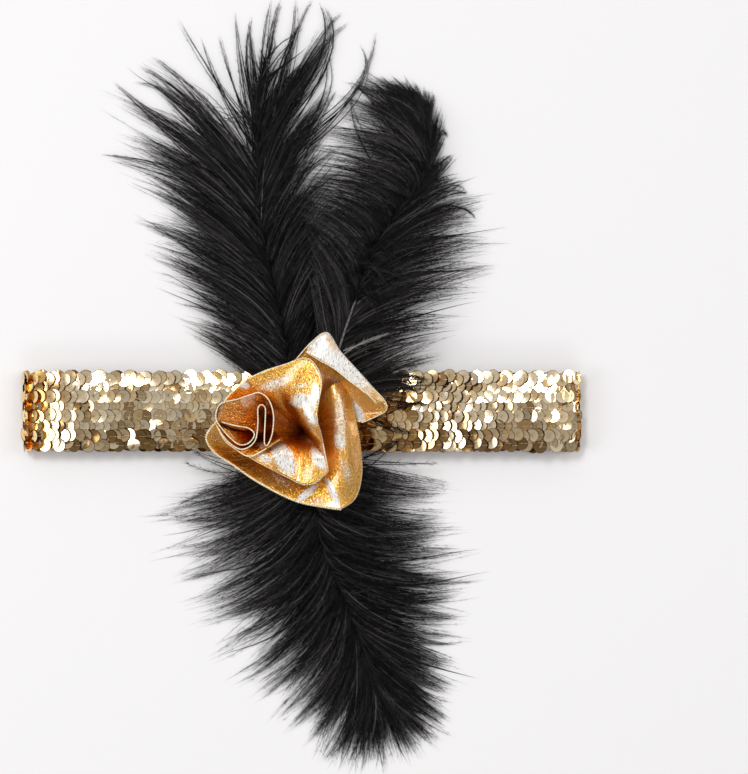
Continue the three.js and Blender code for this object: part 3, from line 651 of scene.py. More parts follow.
# Where no light reaches: the slot of the heart, the gap beside it and the flap's top corner.
hollows = table(spotNames, [
    (-0.37, 0.03, 0.16, 0.05, 88, 1.0),
    (-0.29, 0.00, 0.20, 0.04, 86, 0.75),
    (0.40, 0.86, 0.12, 0.04, -55, 0.3),
])


# How strongly a table's spots cover points: the largest of their ovals, each fading outwards.
def spotCover(spots, x, y):
    turn = np.radians(spots["turn"])
    dx, dy = x[..., None] - spots["x"], y[..., None] - spots["y"]
    along = (dx * np.cos(turn) + dy * np.sin(turn)) / spots["long"]
    across = (dy * np.cos(turn) - dx * np.sin(turn)) / spots["short"]
    return (spots["amount"] * np.exp(-((along**2 + across**2) ** 1.5))).max(axis=-1)


# A place of the rose from its shares: centre plus share times half, level plus share times height.
def rosePoint(x, y, z):
    return np.stack(
        [
            rose["centre"][0] + x * rose["half"],
            rose["centre"][1] + y * rose["half"],
            rose["level"] + z * rose["height"],
        ],
        axis=-1,
    )


# A centripetal Catmull-Rom curve through three points, for whole arrays of triples.
def curveThrough(first, middle, last, t):
    ghostStart, ghostEnd = 2 * first - middle, 2 * last - middle
    knots = [ghostStart, first, middle, last, ghostEnd]
    pairs = zip(knots, knots[1:])
    gaps = [np.maximum(np.linalg.norm(b - a, axis=-1, keepdims=True), 1e-6) ** 0.5 for a, b in pairs]

    def segment(k, s):
        a, b, c, d = knots[k : k + 4]
        g0, g1, g2 = gaps[k : k + 3]
        startSlope = ((b - a) / g0 - (c - a) / (g0 + g1) + (c - b) / g1) * g1
        endSlope = ((c - b) / g1 - (d - b) / (g1 + g2) + (d - c) / g2) * g1
        return (
            (2 * s**3 - 3 * s**2 + 1) * b
            + (s**3 - 2 * s**2 + s) * startSlope
            + (3 * s**2 - 2 * s**3) * c
            + (s**3 - s**2) * endSlope
        )

    early = segment(0, np.minimum(t * 2, 1))
    late = segment(1, np.maximum(t * 2 - 1, 0))
    return np.where(t < 0.5, early, late)


# A petal: rows run along the ribbon, columns from the rim over the belly to the foot.
def petalGrid(rows, steps, levels, foot):
    share = np.linspace(0, 1, steps)
    read = lambda name: column(rows, name, share)
    rim = rosePoint(read("rimX"), read("rimY"), read("rimZ"))
    belly = rosePoint(read("bellyX"), read("bellyY"), read("bellyZ"))
    centre = rosePoint(np.full(steps, foot[0]), np.full(steps, foot[1]), np.zeros(steps))
    spoke = belly - centre
    spoke[:, 2] = 0
    footPoint = centre + unit(spoke) * rose["footRadius"]
    footPoint[:, 2] = rose["level"] + rose["footLevel"]
    t = np.linspace(0, 1, levels)[None, :, None]
    return curveThrough(rim[:, None], belly[:, None], footPoint[:, None], t)


# The flap: straight lines from its rim to its hem.
def flapGrid(steps, levels):
    share = np.linspace(0, 1, steps)
    read = lambda name: column(flap, name, share)
    rim = rosePoint(read("rimX"), read("rimY"), read("rimZ"))
    hem = rosePoint(read("bellyX"), read("bellyY"), read("bellyZ"))
    t = np.linspace(0, 1, levels)[None, :, None]
    return rim[:, None] * (1 - t) + hem[:, None] * t


# The heart: its smooth line carried down from the top level to the bottom one.
def heartGrid(steps, levels):
    share = np.linspace(0, 1, steps)
    x, y = column(heart, "x", share), column(heart, "y", share)
    t = np.linspace(0, 1, levels)[None, :]
    z = rose["heartTop"] * (1 - t) + rose["heartBottom"] * t
    spread = lambda values: np.broadcast_to(values, (steps, levels))
    return rosePoint(spread(x[:, None]), spread(y[:, None]), spread(z))


# Lengths along and across a grid of points, as UVs in metres.
def gridUv(grid):
    along = np.linalg.norm(np.diff(grid, axis=0), axis=-1).mean(axis=1)
    across = np.linalg.norm(np.diff(grid, axis=1), axis=-1).mean(axis=0)
    u = np.concatenate([[0], np.cumsum(along)])
    v = np.concatenate([[0], np.cumsum(across)])
    return np.stack(np.broadcast_arrays(u[:, None], v[None]), -1)


# The ribbon: grids side by side in one mesh, with how much painted shade and painted highlight each point
# takes.
def makeRose():
    # Steps along the ribbon, then levels from the rim to the foot.
    grids = {
        "collar": petalGrid(petals["collar"], 40, 26, rose["gather"]),
        "outer": petalGrid(petals["outer"], 120, 34, rose["gather"]),
        "side": petalGrid(petals["side"], 90, 34, rose["gather"]),
        "cup": petalGrid(petals["cup"], 80, 26, rose["heartFoot"]),
        "middle": petalGrid(petals["middle"], 110, 34, rose["gather"]),
        "upper": petalGrid(petals["upper"], 120, 34, rose["gather"]),
        "tail": petalGrid(petals["tail"], 110, 30, rose["gather"]),
        "flap": flapGrid(80, 10),
        "heart": heartGrid(240, 16),
    }
    # How much painted shade a level takes, more the deeper in the folds, from the rim to the foot.
    shadeByLevel = {
        "cup": lambda t: 0.6 * t**1.3,
        "heart": lambda t: 0.2 + 0.6 * t,
        "flap": lambda t: 0 * t,
        "side": lambda t: 0.8 * t**6,
    }
    points, faces, uvs, foldShade, pale, count, hems = [], [], [], [], [], 0, []
    for name, grid in grids.items():
        rows, columns = grid.shape[:2]
        depth = shadeByLevel.get(name, lambda t: 0.8 * t**3)
        dark = np.tile(depth(np.linspace(0, 1, columns)), (rows, 1))
        x, y = ((grid[..., k] - rose["centre"][k]) / rose["half"] for k in (0, 1))
        if name != "heart":
            dark = np.maximum(dark, spotCover(hollows, x, y))
        foldShade.append(dark.ravel())
        # Painted highlight from the spots where the foil is made silver-white.
        shine = spotCover(highlightSpots[name], x, y) if name in highlightSpots else np.zeros_like(x)
        pale.append(shine.ravel())
        points.append(grid.reshape(-1, 3))
        faces.append(gridFaces(rows, columns) + count)
        uvs.append(gridUv(grid).reshape(-1, 2) + len(uvs) * rose["uvStep"])
        count += rows * columns
        edge = grid[:, -1] if name == "flap" else grid[:, 0]
        if name == "cup":
            edge = edge[: int(rows * rose["cupHem"])]
        hems.append(hemTube(edge, name == "outer"))
    attributes = {"foldShade": np.concatenate(foldShade), "pale": np.concatenate(pale)}
    points, faces, uvs = (np.concatenate(parts) for parts in (points, faces, uvs))
    ribbon = meshPiece("rose_ribbon", points, faces, uvs, attributes=attributes)
    solidify = ribbon.modifiers.new("wall", "SOLIDIFY")
    solidify.thickness = rose["wall"]
    solidify.offset = 0
    area = sum(polygon.area for polygon in ribbon.data.polygons)
    print("rose cloth area", round(area * 1e4, 1), "cm2")
    hemPoints, hemFaces = joined(hems)
    hem = meshPiece("rose_hems", hemPoints, hemFaces)
    return ribbon, hem, area


# A rolled hem: a thin tube along an edge, ribbed by its overlock stitches.
def hemTube(edge, coarse):
    pitch = rose["edgePitch"] if coarse else rose["stitchPitch"]
    radius = rose["edgeRadius"] if coarse else rose["hemRadius"]
    rib = 0.6 if coarse else 0.3
    steps = np.concatenate([[0], np.cumsum(np.linalg.norm(np.diff(edge, axis=0), axis=1))])
    count = max(int(steps[-1] / (pitch / 4)), 8)
    at = np.linspace(0, steps[-1], count)
    path = np.stack([np.interp(at, steps, edge[:, k]) for k in range(3)], 1)
    radii = radius * (1 + rib * np.sin(at / pitch * 2 * np.pi))
    return tube(path, radii, 6)


# Gold foil with streaks, painted highlights by the pale attribute and painted shade darkening the folds.
def lameMaterial():
    material, tree, shader = newMaterial("gold lame", (0.9, 0.42, 0.03), 0.25, 1)
    shader.inputs["Coat Weight"].default_value = 1.0
    shader.inputs["Coat IOR"].default_value = 1.9
    shader.inputs["Coat Roughness"].default_value = 0.13
    coords = addNode(tree, "ShaderNodeUVMap")
    links = tree.links

    # Noise stretched across the ribbon, by its scale along and across in 1/m.
    def streaks(along, across, detail):
        scale = addNode(tree, "ShaderNodeMapping", inputs={"Scale": (along, across, 1)})
        noise = addNode(tree, "ShaderNodeTexNoise", inputs={"Scale": 1.0, "Detail": detail})
        links.new(coords.outputs["UV"], scale.inputs["Vector"])
        links.new(scale.outputs["Vector"], noise.inputs["Vector"])
        return noise.outputs["Fac"]

    # Bump with a height in metres, laid over an earlier one.
    def relief(height, distance, under=None):
        bump = addNode(tree, "ShaderNodeBump", inputs={"Strength": 1.0, "Distance": distance})
        links.new(height, bump.inputs["Height"])
        if under:
            links.new(under, bump.inputs["Normal"])
        return bump.outputs["Normal"]

    crinkle = relief(streaks(420, 70, 3.0), 0.0009)
    threads = relief(streaks(2100, 450, 2.0), 0.00035, crinkle)
    grain = relief(streaks(2600, 2300, 1.0), 0.00022, threads)
    colors = ramp(tree, [(0.32, (0.55, 0.19, 0.01)), (0.5, (0.95, 0.46, 0.04)), (0.68, (1.0, 0.74, 0.26))])
    links.new(streaks(2600, 1700, 3.0), colors.inputs["Fac"])
    # Painted shade: down in the folds the foil's colour is darkened and its coat fades.
    foldShade = addNode(tree, "ShaderNodeAttribute", {"attribute_name": "foldShade"})
    shade = ramp(tree, [
        (0.0, (1, 1, 1)), (0.35, (0.8, 0.52, 0.3)),
        (0.7, (0.25, 0.1, 0.04)), (1.0, (0.02, 0.012, 0.01)),
    ])
    shadedFoil = addNode(tree, "ShaderNodeMix", {"data_type": "RGBA", "blend_type": "MULTIPLY"}, {"Factor": 1.0})
    links.new(foldShade.outputs["Fac"], shade.inputs["Fac"])
    # Painted highlight: where the pale attribute is high the foil turns silver-white and less metallic,
    # breaking up into specks at its edges.
    pale = addNode(tree, "ShaderNodeAttribute", {"attribute_name": "pale"})
    specks = addNode(tree, "ShaderNodeMath", {"operation": "MULTIPLY_ADD"}, {1: 1.3, 2: -0.65})
    broken = addNode(tree, "ShaderNodeMath", {"operation": "ADD"})
    mask = ramp(tree, [(0.32, (0, 0, 0)), (0.62, (1, 1, 1))])
    foil = addNode(tree, "ShaderNodeMix", {"data_type": "RGBA"})
    highlightColors = ramp(tree, [(0.36, (0.42, 0.34, 0.2)), (0.45, (0.92, 0.87, 0.78)), (0.54, (1, 1, 1))])
    metal = ramp(tree, [(0.0, (1, 1, 1)), (1.0, (0.2, 0.2, 0.2))])
    gloss = ramp(tree, [(0.0, (1, 1, 1)), (0.35, (0.05, 0.05, 0.05))])
    links.new(streaks(3200, 600, 2.0), highlightColors.inputs["Fac"])
    links.new(highlightColors.outputs["Color"], foil.inputs["B"])
    links.new(streaks(3000, 1300, 2.0), specks.inputs[0])
    links.new(pale.outputs["Fac"], broken.inputs[0])
    links.new(specks.outputs["Value"], broken.inputs[1])
    links.new(broken.outputs["Value"], mask.inputs["Fac"])
    links.new(mask.outputs["Color"], foil.inputs["Factor"])
    links.new(mask.outputs["Color"], metal.inputs["Fac"])
    links.new(metal.outputs["Color"], shader.inputs["Metallic"])
    links.new(foldShade.outputs["Fac"], gloss.inputs["Fac"])
    links.new(gloss.outputs["Color"], shader.inputs["Coat Weight"])
    links.new(colors.outputs["Color"], foil.inputs["A"])
    links.new(foil.outputs["Result"], shadedFoil.inputs["A"])
    links.new(shade.outputs["Color"], shadedFoil.inputs["B"])
    links.new(shadedFoil.outputs["Result"], shader.inputs["Base Color"])
    links.new(grain, shader.inputs["Normal"])
    return material


# Cream thread of the hems, its colour following the grain.
def hemMaterial():
    stops = [(0.35, (0.85, 0.58, 0.26)), (0.5, (1.0, 0.88, 0.62)), (0.7, (1.0, 0.98, 0.88))]
    return fibreMaterial("cream hem thread", ((0.92, 0.76, 0.5), 0.5, 0.15), 1500.0, stops)


# Plumes
plumeNames = ("quillX", "quillY", "level", "leftX", "leftY", "leftLevel", "rightX", "rightY", "rightLevel")
plumes = {
    "plume_left": table(plumeNames, [
        (-0.03, -0.03, 1.00, -0.20, 0.22, 0.9, 0.06, 0.24, 0.6),
        (-0.05, 0.19, 0.99, -0.41, 0.29, 0, 0.10, 0.38, 0),
        (-0.08, 0.36, 0.58, -0.52, 0.49, 0, 0.14, 0.56, 0),
        (-0.12, 0.54, 0.42, -0.60, 0.67, 0, 0.16, 0.78, 0),
        (-0.155, 0.74, 0.36, -0.62, 0.84, 0, 0.17, 0.96, 0),
        (-0.175, 0.96, 0.34, -0.67, 1.06, 0, 0.13, 1.18, 0),
        (-0.16, 1.15, 0.32, -0.72, 1.31, 0, 0.11, 1.42, 0),
        (-0.12, 1.33, 0.28, -0.30, 1.54, 0, 0.15, 1.58, 0),
    ]),
    "plume_right": table(plumeNames, [
        (0.08, -0.04, 1.00, 0.04, 0.46, 0.7, 0.36, 0.04, 1.12),
        (0.145, 0.22, 1.00, 0.04, 0.60, 0.50, 0.47, 0.10, 1.12),
        (0.21, 0.42, 0.98, 0.04, 0.70, 0.48, 0.56, 0.28, 1.04),
        (0.28, 0.62, 0.88, 0.01, 0.79, 0.47, 0.71, 0.48, 0.3),
        (0.38, 0.79, 0.76, 0.00, 0.88, 0.46, 0.80, 0.70, 0),
        (0.475, 0.91, 0.64, 0.02, 0.99, 0.44, 0.71, 0.87, 0),
        (0.51, 1.04, 0.50, 0.08, 1.15, 0.2, 0.60, 1.06, 0),
        (0.50, 1.16, 0.36, 0.20, 1.29, 0, 0.54, 1.26, 0),
    ]),
    "plume_lower": table(plumeNames, [
        (0.03, -0.09, 1.00, -0.32, -0.24, 0.6, 0.40, -0.24, 0.6),
        (0.04, -0.20, 0.99, -0.50, -0.36, 0, 0.54, -0.32, 0),
        (0.055, -0.36, 0.66, -0.51, -0.52, 0, 0.55, -0.45, 0),
        (0.08, -0.52, 0.46, -0.47, -0.74, 0, 0.66, -0.59, 0),
        (0.13, -0.66, 0.38, -0.37, -0.93, 0, 0.69, -0.73, 0),
        (0.19, -0.80, 0.36, -0.21, -1.12, 0, 0.66, -0.92, 0),
        (0.24, -0.93, 0.34, -0.06, -1.25, 0, 0.63, -1.10, 0),
        (0.285, -1.07, 0.30, 0.05, -1.36, 0, 0.59, -1.28, 0),
    ]),
}


# Each side of each plume: strands and the tufts they draw into, barbs to a strand, the quill
# share that a root lies behind its tip at the base and at the end, the arch, the shortest
# strand, the share of the quill where the last one sits and how far barbs pull to a point.
# Then for the whole plume: lift of the roots near the base and further on, sway as a share of
# the length, a power that darkens (below 1, lightens), barbule length and first cover barb.
plumeLooks = {
    "plume_left": {
        "left": {
            "strands": 48, "tufts": 15, "barbs": 17, "lean": (0.12, 0.25), "arch": 0.42,
            "shortest": 0.84, "last": 0.92, "pull": 0.92,
        },
        "right": {
            "strands": 42, "tufts": 13, "barbs": 16, "lean": (0.10, 0.20), "arch": 0.45,
            "shortest": 0.84, "last": 0.95, "pull": 0.92,
        },
        "end": {
            "strands": 9, "tufts": 9, "barbs": 8, "from": 0.74, "spread": 0.14, "arch": 0.35,
            "shortest": 0.66, "pull": 0.95,
        },
        "rootLift": (0.9 * mm, 0.9 * mm),
        "sway": 0.02,
        "tone": 1.0,
        "downy": 1.05,
        "coverFrom": 0.02,
    },
    "plume_right": {
        "left": {
            "strands": 44, "tufts": 15, "barbs": 17, "lean": (0.03, 0.13), "arch": 0.65,
            "shortest": 0.93, "last": 1.0, "pull": 0.7,
        },
        "right": {
            "strands": 44, "tufts": 14, "barbs": 17, "lean": (0.20, 0.26), "arch": 0.45,
            "shortest": 0.84, "last": 1.0, "pull": 0.8,
        },
        "end": {
            "strands": 16, "tufts": 16, "barbs": 22, "from": 0.9, "spread": 0.1, "arch": 0.4,
            "shortest": 0.98, "pull": 0.4,
        },
        "rootLift": (-0.5 * mm, 0.9 * mm),
        "sway": 0.024,
        "tone": 0.7,
        "downy": 1.2,
        "coverFrom": 0.38,
    },
    "plume_lower": {
        "left": {
            "strands": 38, "tufts": 13, "barbs": 20, "lean": (0.10, 0.16), "arch": 0.5,
            "shortest": 0.84, "last": 1.0, "pull": 0.78,
        },
        "right": {
            "strands": 38, "tufts": 12, "barbs": 19, "lean": (0.03, 0.10), "arch": 0.5,
            "shortest": 0.88, "last": 1.0, "pull": 0.7,
        },
        "end": {
            "strands": 22, "tufts": 22, "barbs": 17, "from": 0.88, "spread": 0.1, "arch": 0.4,
            "shortest": 0.98, "pull": 0.4,
        },
        "rootLift": (0.6 * mm, 0.6 * mm),
        "sway": 0.028,
        "tone": 1.0,
        "downy": 1.5,
        "coverFrom": 0.02,
    },
}

# Single strands that stray from the vane: root, bend and tip, as shares of the span and of
# the level on the band, with how light they are and how many barbs they hold.
strayNames = ("rootX", "rootY", "bendX", "bendY", "tipX", "tipY", "level", "tone", "barbs")
strays = {
    "plume_left": table(strayNames, [
        (-0.18, 1.10, -0.32, 1.26, -0.49, 1.57, 0.2, 0.5, 5),
        (-0.17, 1.04, -0.32, 1.24, -0.40, 1.50, 0.2, 0.5, 4),
        (-0.18, 1.08, -0.28, 1.28, -0.33, 1.51, 0.2, 0.4, 4),
        (-0.16, 1.12, -0.23, 1.28, -0.27, 1.60, 0.2, 0.4, 6),
        (-0.16, 1.16, -0.24, 1.40, -0.20, 1.58, 0.2, 0.4, 5),
        (-0.16, 1.20, -0.20, 1.40, -0.21, 1.53, 0.2, 0.4, 5),
        (-0.16, 1.24, -0.16, 1.44, -0.12, 1.65, 0.2, 0.4, 5),
        (-0.16, 1.22, -0.14, 1.48, -0.08, 1.65, 0.2, 0.4, 7),
        (-0.12, 1.18, -0.03, 1.40, -0.02, 1.65, 0.2, 0.4, 6),
        (-0.12, 1.20, -0.05, 1.48, 0.04, 1.65, 0.2, 0.4, 5),
        (-0.10, 1.16, 0.18, 1.44, 0.07, 1.64, 0.2, 0.4, 6),
        (-0.09, 1.14, 0.20, 1.44, 0.10, 1.62, 0.2, 0.4, 6),
        (-0.08, 1.20, 0.04, 1.48, 0.16, 1.60, 0.2, 0.4, 5),
        (-0.08, 1.16, 0.04, 1.44, 0.19, 1.56, 0.2, 0.4, 4),
        (-0.04, 1.06, 0.18, 1.30, 0.09, 1.45, 0.2, 0.4, 4),
        (-0.01, 1.04, 0.07, 1.20, 0.14, 1.29, 0.2, 0.4, 4),
        (-0.00, 1.08, 0.34, 1.32, 0.24, 1.47, 0.2, 0.4, 4),
        (0.01, 1.08, 0.27, 1.28, 0.30, 1.52, 0.2, 0.4, 4),
        (-0.24, 0.98, -0.38, 1.30, -0.60, 1.42, 0.2, 0.4, 6),
        (-0.26, 0.98, -0.42, 1.30, -0.65, 1.38, 0.2, 0.4, 6),
        (-0.29, 0.96, -0.44, 1.30, -0.67, 1.32, 0.2, 0.4, 5),
        (-0.32, 0.94, -0.56, 1.16, -0.75, 1.32, 0.2, 0.4, 6),
        (-0.32, 0.88, -0.54, 1.00, -0.80, 1.03, 0.2, 0.4, 6),
        (-0.30, 0.84, -0.52, 0.94, -0.76, 1.01, 0.2, 0.4, 4),
        (-0.28, 0.82, -0.46, 1.00, -0.59, 1.06, 0.2, 0.4, 4),
    ]),
    "plume_right": table(strayNames, [
        (0.22, 0.02, 0.33, -0.07, 0.43, -0.09, 1.02, 0.2, 5),
        (0.24, -0.20, 0.34, -0.15, 0.39, -0.11, 1.02, 0.2, 4),
        (0.30, 0.02, 0.42, 0.03, 0.49, 0.03, 1.02, 0.3, 4),
        (0.24, 0.10, 0.36, 0.12, 0.46, 0.08, 1.02, 0.3, 6),
        (0.24, 0.14, 0.38, 0.16, 0.50, 0.13, 1.04, 0.3, 6),
        (0.16, 0.24, 0.27, 0.29, 0.36, 0.31, 1.1, 1.0, 2),
        (0.30, 0.98, 0.20, 1.16, 0.20, 1.26, 0.3, 0.4, 3),
        (0.48, 0.78, 0.64, 0.86, 0.70, 0.77, 0.3, 0.4, 4),
        (0.50, 0.84, 0.62, 0.90, 0.66, 0.87, 0.3, 0.4, 4),
        (0.52, 1.00, 0.56, 1.16, 0.58, 1.10, 0.3, 0.4, 3),
    ]),
    "plume_lower": table(strayNames, [
        (-0.18, -0.24, -0.34, -0.22, -0.45, -0.15, 0.2, 0.4, 3),
        (-0.18, -0.26, -0.36, -0.26, -0.47, -0.20, 0.2, 0.4, 3),
        (-0.16, -0.28, -0.36, -0.30, -0.50, -0.38, 0.2, 0.4, 3),
        (0.16, -0.19, 0.38, -0.22, 0.56, -0.21, 0.3, 0.3, 3),
        (0.16, -0.22, 0.40, -0.26, 0.60, -0.30, 0.2, 0.4, 3),
        (-0.02, -0.40, -0.24, -0.46, -0.47, -0.44, 0.3, 0.4, 3),
    ]),
}


# A place on the quill, read from its table.
def quillPoint(rows, share):
    return np.stack(
        [
            column(rows, "quillX", share) * plume["span"],
            column(rows, "quillY", share) * plume["span"],
            column(rows, "level", share) * plume["level"],
        ],
        axis=-1,
    )


# The quill's direction: the difference of places just after and before.
def quillForward(rows, share):
    step = 0.01
    after, before = np.minimum(share + step, 1), np.maximum(share - step, 0)
    return unit(quillPoint(rows, after) - quillPoint(rows, before))


# A place on the line through the tips of one side, read from its table.
def tipPoint(rows, share, side):
    return np.stack(
        [
            column(rows, side + "X", share) * plume["span"],
            column(rows, side + "Y", share) * plume["span"],
            np.maximum(column(rows, side + "Level", share), 0) * plume["level"] + plume["tipLevel"],
        ],
        axis=-1,
    )


# The end of the vane: places on a bow between the last tips on each side.
def bowPoint(rows, across):
    ends = np.ones_like(across)
    left, right = tipPoint(rows, ends, "left"), tipPoint(rows, ends, "right")
    bow = np.linalg.norm(left - right, axis=-1, keepdims=True) * 0.17
    arch = quillForward(rows, ends) * bow * np.sin(np.pi * across)[..., None] ** 0.6
    place = left * (1 - across[..., None]) + right * across[..., None] + arch
    place[..., 2] = plume["tipLevel"]
    return place


# Points of a quadratic Bezier that leaves the quill forwards and bends out to the tip.
def bend(rows, root, tip, share, arch, t):
    reach = np.linalg.norm(tip - root, axis=-1, keepdims=True)
    ahead = root + quillForward(rows, share) * reach * 0.5
    control = ahead * arch + (root + tip) / 2 * (1 - arch)
    control[..., 2] = root[..., 2] * 0.7 + tip[..., 2] * 0.3
    root, control, tip = root[..., None, :], control[..., None, :], tip[..., None, :]
    return root * (1 - t) ** 2 + control * 2 * t * (1 - t) + tip * t**2


# Keeps paths above the band and, past its edge, above a slope down to the floor.
def overBand(path):
    past = (band["width"] / 2 + plume["slopeEnd"] - np.abs(path[..., 1])) / plume["slopeLength"]
    level = (band["height"] + plume["bandClear"]) * np.clip(past, 0, 1) + plume["floorClear"]
    path[..., 2] = np.maximum(path[..., 2], level)
    return path


# Barbs around the middle lines of strands. Across a strand u runs from -1 to 1 and a barb
# lies at the middle line plus u times half the strand's width there. Towards the tip u draws
# in, first to a few points in each strand and then to one, and each barb is cut at its own length.
def spreadBarbs(spine, edge, perStrand, points, pull, cutRange, draw):
    count, steps = spine.shape[:2]
    t = np.linspace(0, 1, steps)
    u = draw.uniform(-1, 1, (count, perStrand))
    group = np.minimum(((u + 1) / 2 * points).astype(int), points - 1)
    toGroup = (group + 0.5) / points * 2 - 1
    groupCut = draw.uniform(*cutRange, (count, 4))
    cut = np.take_along_axis(groupCut, group, 1) * (1 - 0.28 * draw.random(u.shape) ** 2)
    cut = np.where(draw.random(u.shape) < 0.05, draw.uniform(1.0, 1.1, u.shape), cut)
    # Read the strand's lines at the barb's own steps, going a little past the end.
    at = cut[..., None] * t * (steps - 1)
    i = np.minimum(at.astype(int), steps - 2)
    blend = (at - i)[..., None]
    pick = np.arange(count)[:, None, None]
    readLine = lambda lines: lines[pick, i] * (1 - blend) + lines[pick, i + 1] * blend
    near = np.clip(cut[..., None] * t, 0, 1)
    place = u[..., None] * (1 - near**2) + toGroup[..., None] * near**2
    place = place * (1 - pull * near**4)
    return readLine(spine) + readLine(edge) * place[..., None], cut[..., None] * t


# Strands of one side: Bezier lines from quill to tip line, spread into barbs that sway and lift.
def strandPaths(rows, side, looks, draw, kind="barbs"):
    look = looks[side]
    blades, cover = kind == "blades", kind == "cover"
    strands = plume["coverStrands"] if cover else look["strands"]
    perStrand = plume["blades"] if blades else plume["coverBarbs"] if cover else look["barbs"]
    even = (np.arange(strands) + draw.uniform(0, 1, strands)) / strands
    # Strands draw together into tufts, and each tuft reaches as far as it happens to.
    tufts = look["tufts"]
    tuft = np.minimum((even * tufts).astype(int), tufts - 1)
    centre = (np.arange(tufts) + 0.5 + draw.uniform(-0.3, 0.3, tufts)) / tufts
    aimEven = even * (1 - plume["gather"]) + centre[tuft] * plume["gather"]
    tuftReach = draw.uniform(0.99, 1.02 if side == "end" else 1.07, tufts)[tuft]
    if side == "end":
        place = aimEven
        middle = np.clip(look["from"] + draw.uniform(-1, 1, strands) * look["spread"], 0, 1)
        aimAt = lambda u: bowPoint(rows, np.clip(place + u * plume["endWidth"] / strands, 0, 1))
    else:
        fit = lambda share: plume["firstTuft"] + share * (look["last"] - plume["firstTuft"])
        place = fit(aimEven)
        lean = look["lean"][0] * (1 - place) + look["lean"][1] * place
        middle = np.clip(fit(even) - lean + draw.normal(0, plume["rootScatter"], strands), 0.02, 1)
        aimAt = lambda u: tipPoint(rows, np.clip(place + u * plume["tipWidth"] / strands, 0, 1), side)
    rootAt = lambda u: np.clip(middle + u * plume["rootWidth"] / strands, 0.02, 1)
    reach = draw.uniform(look["shortest"], 1.02, strands) * tuftReach + 0.07 * (1 - place) ** 2
    arch = look["arch"] + draw.normal(0, plume["archScatter"], strands)
    if cover:
        middle = np.clip(middle + draw.normal(0, 0.05, strands), looks["coverFrom"], 1)
        reach = draw.uniform(*plume["coverReach"], strands)
        arch = draw.uniform(0.0, 1.3, strands)
    t = np.linspace(0, 1, plume["barbSteps"])[:, None]

    def line(u):
        root = quillPoint(rows, rootAt(u))
        aim = root + (aimAt(u) - root) * reach[:, None]
        return bend(rows, root, aim, rootAt(u), arch[:, None], t)

    spine, edge = line(0), (line(1) - line(-1)) / 2
    points = 1 + (draw.random(strands) * 2.6).astype(int)[:, None]
    cutRange = plume["bladeCut" if blades else "barbCut"]
    path, along = spreadBarbs(spine, edge, perStrand, points, look["pull"], cutRange, draw)
    # Each barb sways a little and lies at its own height in the fluff.
    near = np.clip(along, 0, 1)
    length = np.linalg.norm(spine[:, -1] - spine[:, 0], axis=-1)[:, None, None, None]
    forward = unit(path[:, :, -1:] - path[:, :, :1])
    sideways = np.cross(forward, upwards)
    phase = draw.random((strands, perStrand, 1)) * 2 * np.pi
    sway = (np.sin(along * 5 + phase) - np.sin(phase)) * along * looks["sway"]
    path = path + sideways * sway[..., None] * length
    height = draw.uniform(-0.6, 1, (strands, perStrand, 1)) - (0.9 if blades else 0) + (0.9 if cover else 0)
    rootLift = np.interp(middle, (0.25, 0.45), looks["rootLift"])[:, None, None]
    lift = plume["fluff"] * height * np.sin(np.pi * near**0.8) + rootLift * (1 - near)
    path[..., 2] = path[..., 2] + lift
    return overBand(path).reshape(-1, plume["barbSteps"], 3)


# Stray barbs: quadratic Beziers through root, bend and tip, each moved a little at random.
def strayPaths(rows, draw):
    counts = rows["barbs"].astype(int)
    pick = np.repeat(np.arange(len(counts)), counts)
    t = np.linspace(0, 1, plume["barbSteps"])[None, :, None]
    jitter = lambda size: draw.normal(0, size, (len(pick), 1, 2)) * plume["span"]
    flat = lambda name: np.stack([rows[name + "X"], rows[name + "Y"]], -1)[pick][:, None] * plume["span"]
    root = flat("root") + jitter(0.022)
    middle = flat("bend") + jitter(0.012)
    tip = flat("tip") + jitter(0.004)
    path = root * (1 - t) ** 2 + middle * 2 * t * (1 - t) + tip * t**2
    start = rows["level"][pick][:, None, None] * plume["level"]
    ends = np.where(rows["level"][pick] > 1, rows["level"][pick], 0.05)[:, None, None] * plume["level"]
    level = start * (1 - t) + ends * t + draw.uniform(0, 0.8 * mm, (len(pick), 1, 1))
    return overBand(np.concatenate([path, level], -1)), rows["tone"][pick]


# Ribbons along paths, narrowing to a point, each rolled about its own line.
def ribbonMesh(paths, widthAt, rolls):
    count, steps = paths.shape[:2]
    side = unit(np.cross(unit(np.gradient(paths, axis=1)), upwards))
    lean = side * np.cos(rolls) + upwards * np.sin(rolls)
    half = widthAt(np.linspace(0, 1, steps))[None, :, None] / 2
    points = np.stack([paths - lean * half, paths + lean * half], 2).reshape(-1, 3)
    points[:, 2] = np.maximum(points[:, 2], lowest)
    quads = (gridFaces(steps, 2)[None] + np.arange(count)[:, None, None] * steps * 2).reshape(-1, 4)
    return points, np.concatenate([quads[:, [0, 1, 2]], quads[:, [0, 2, 3]]])


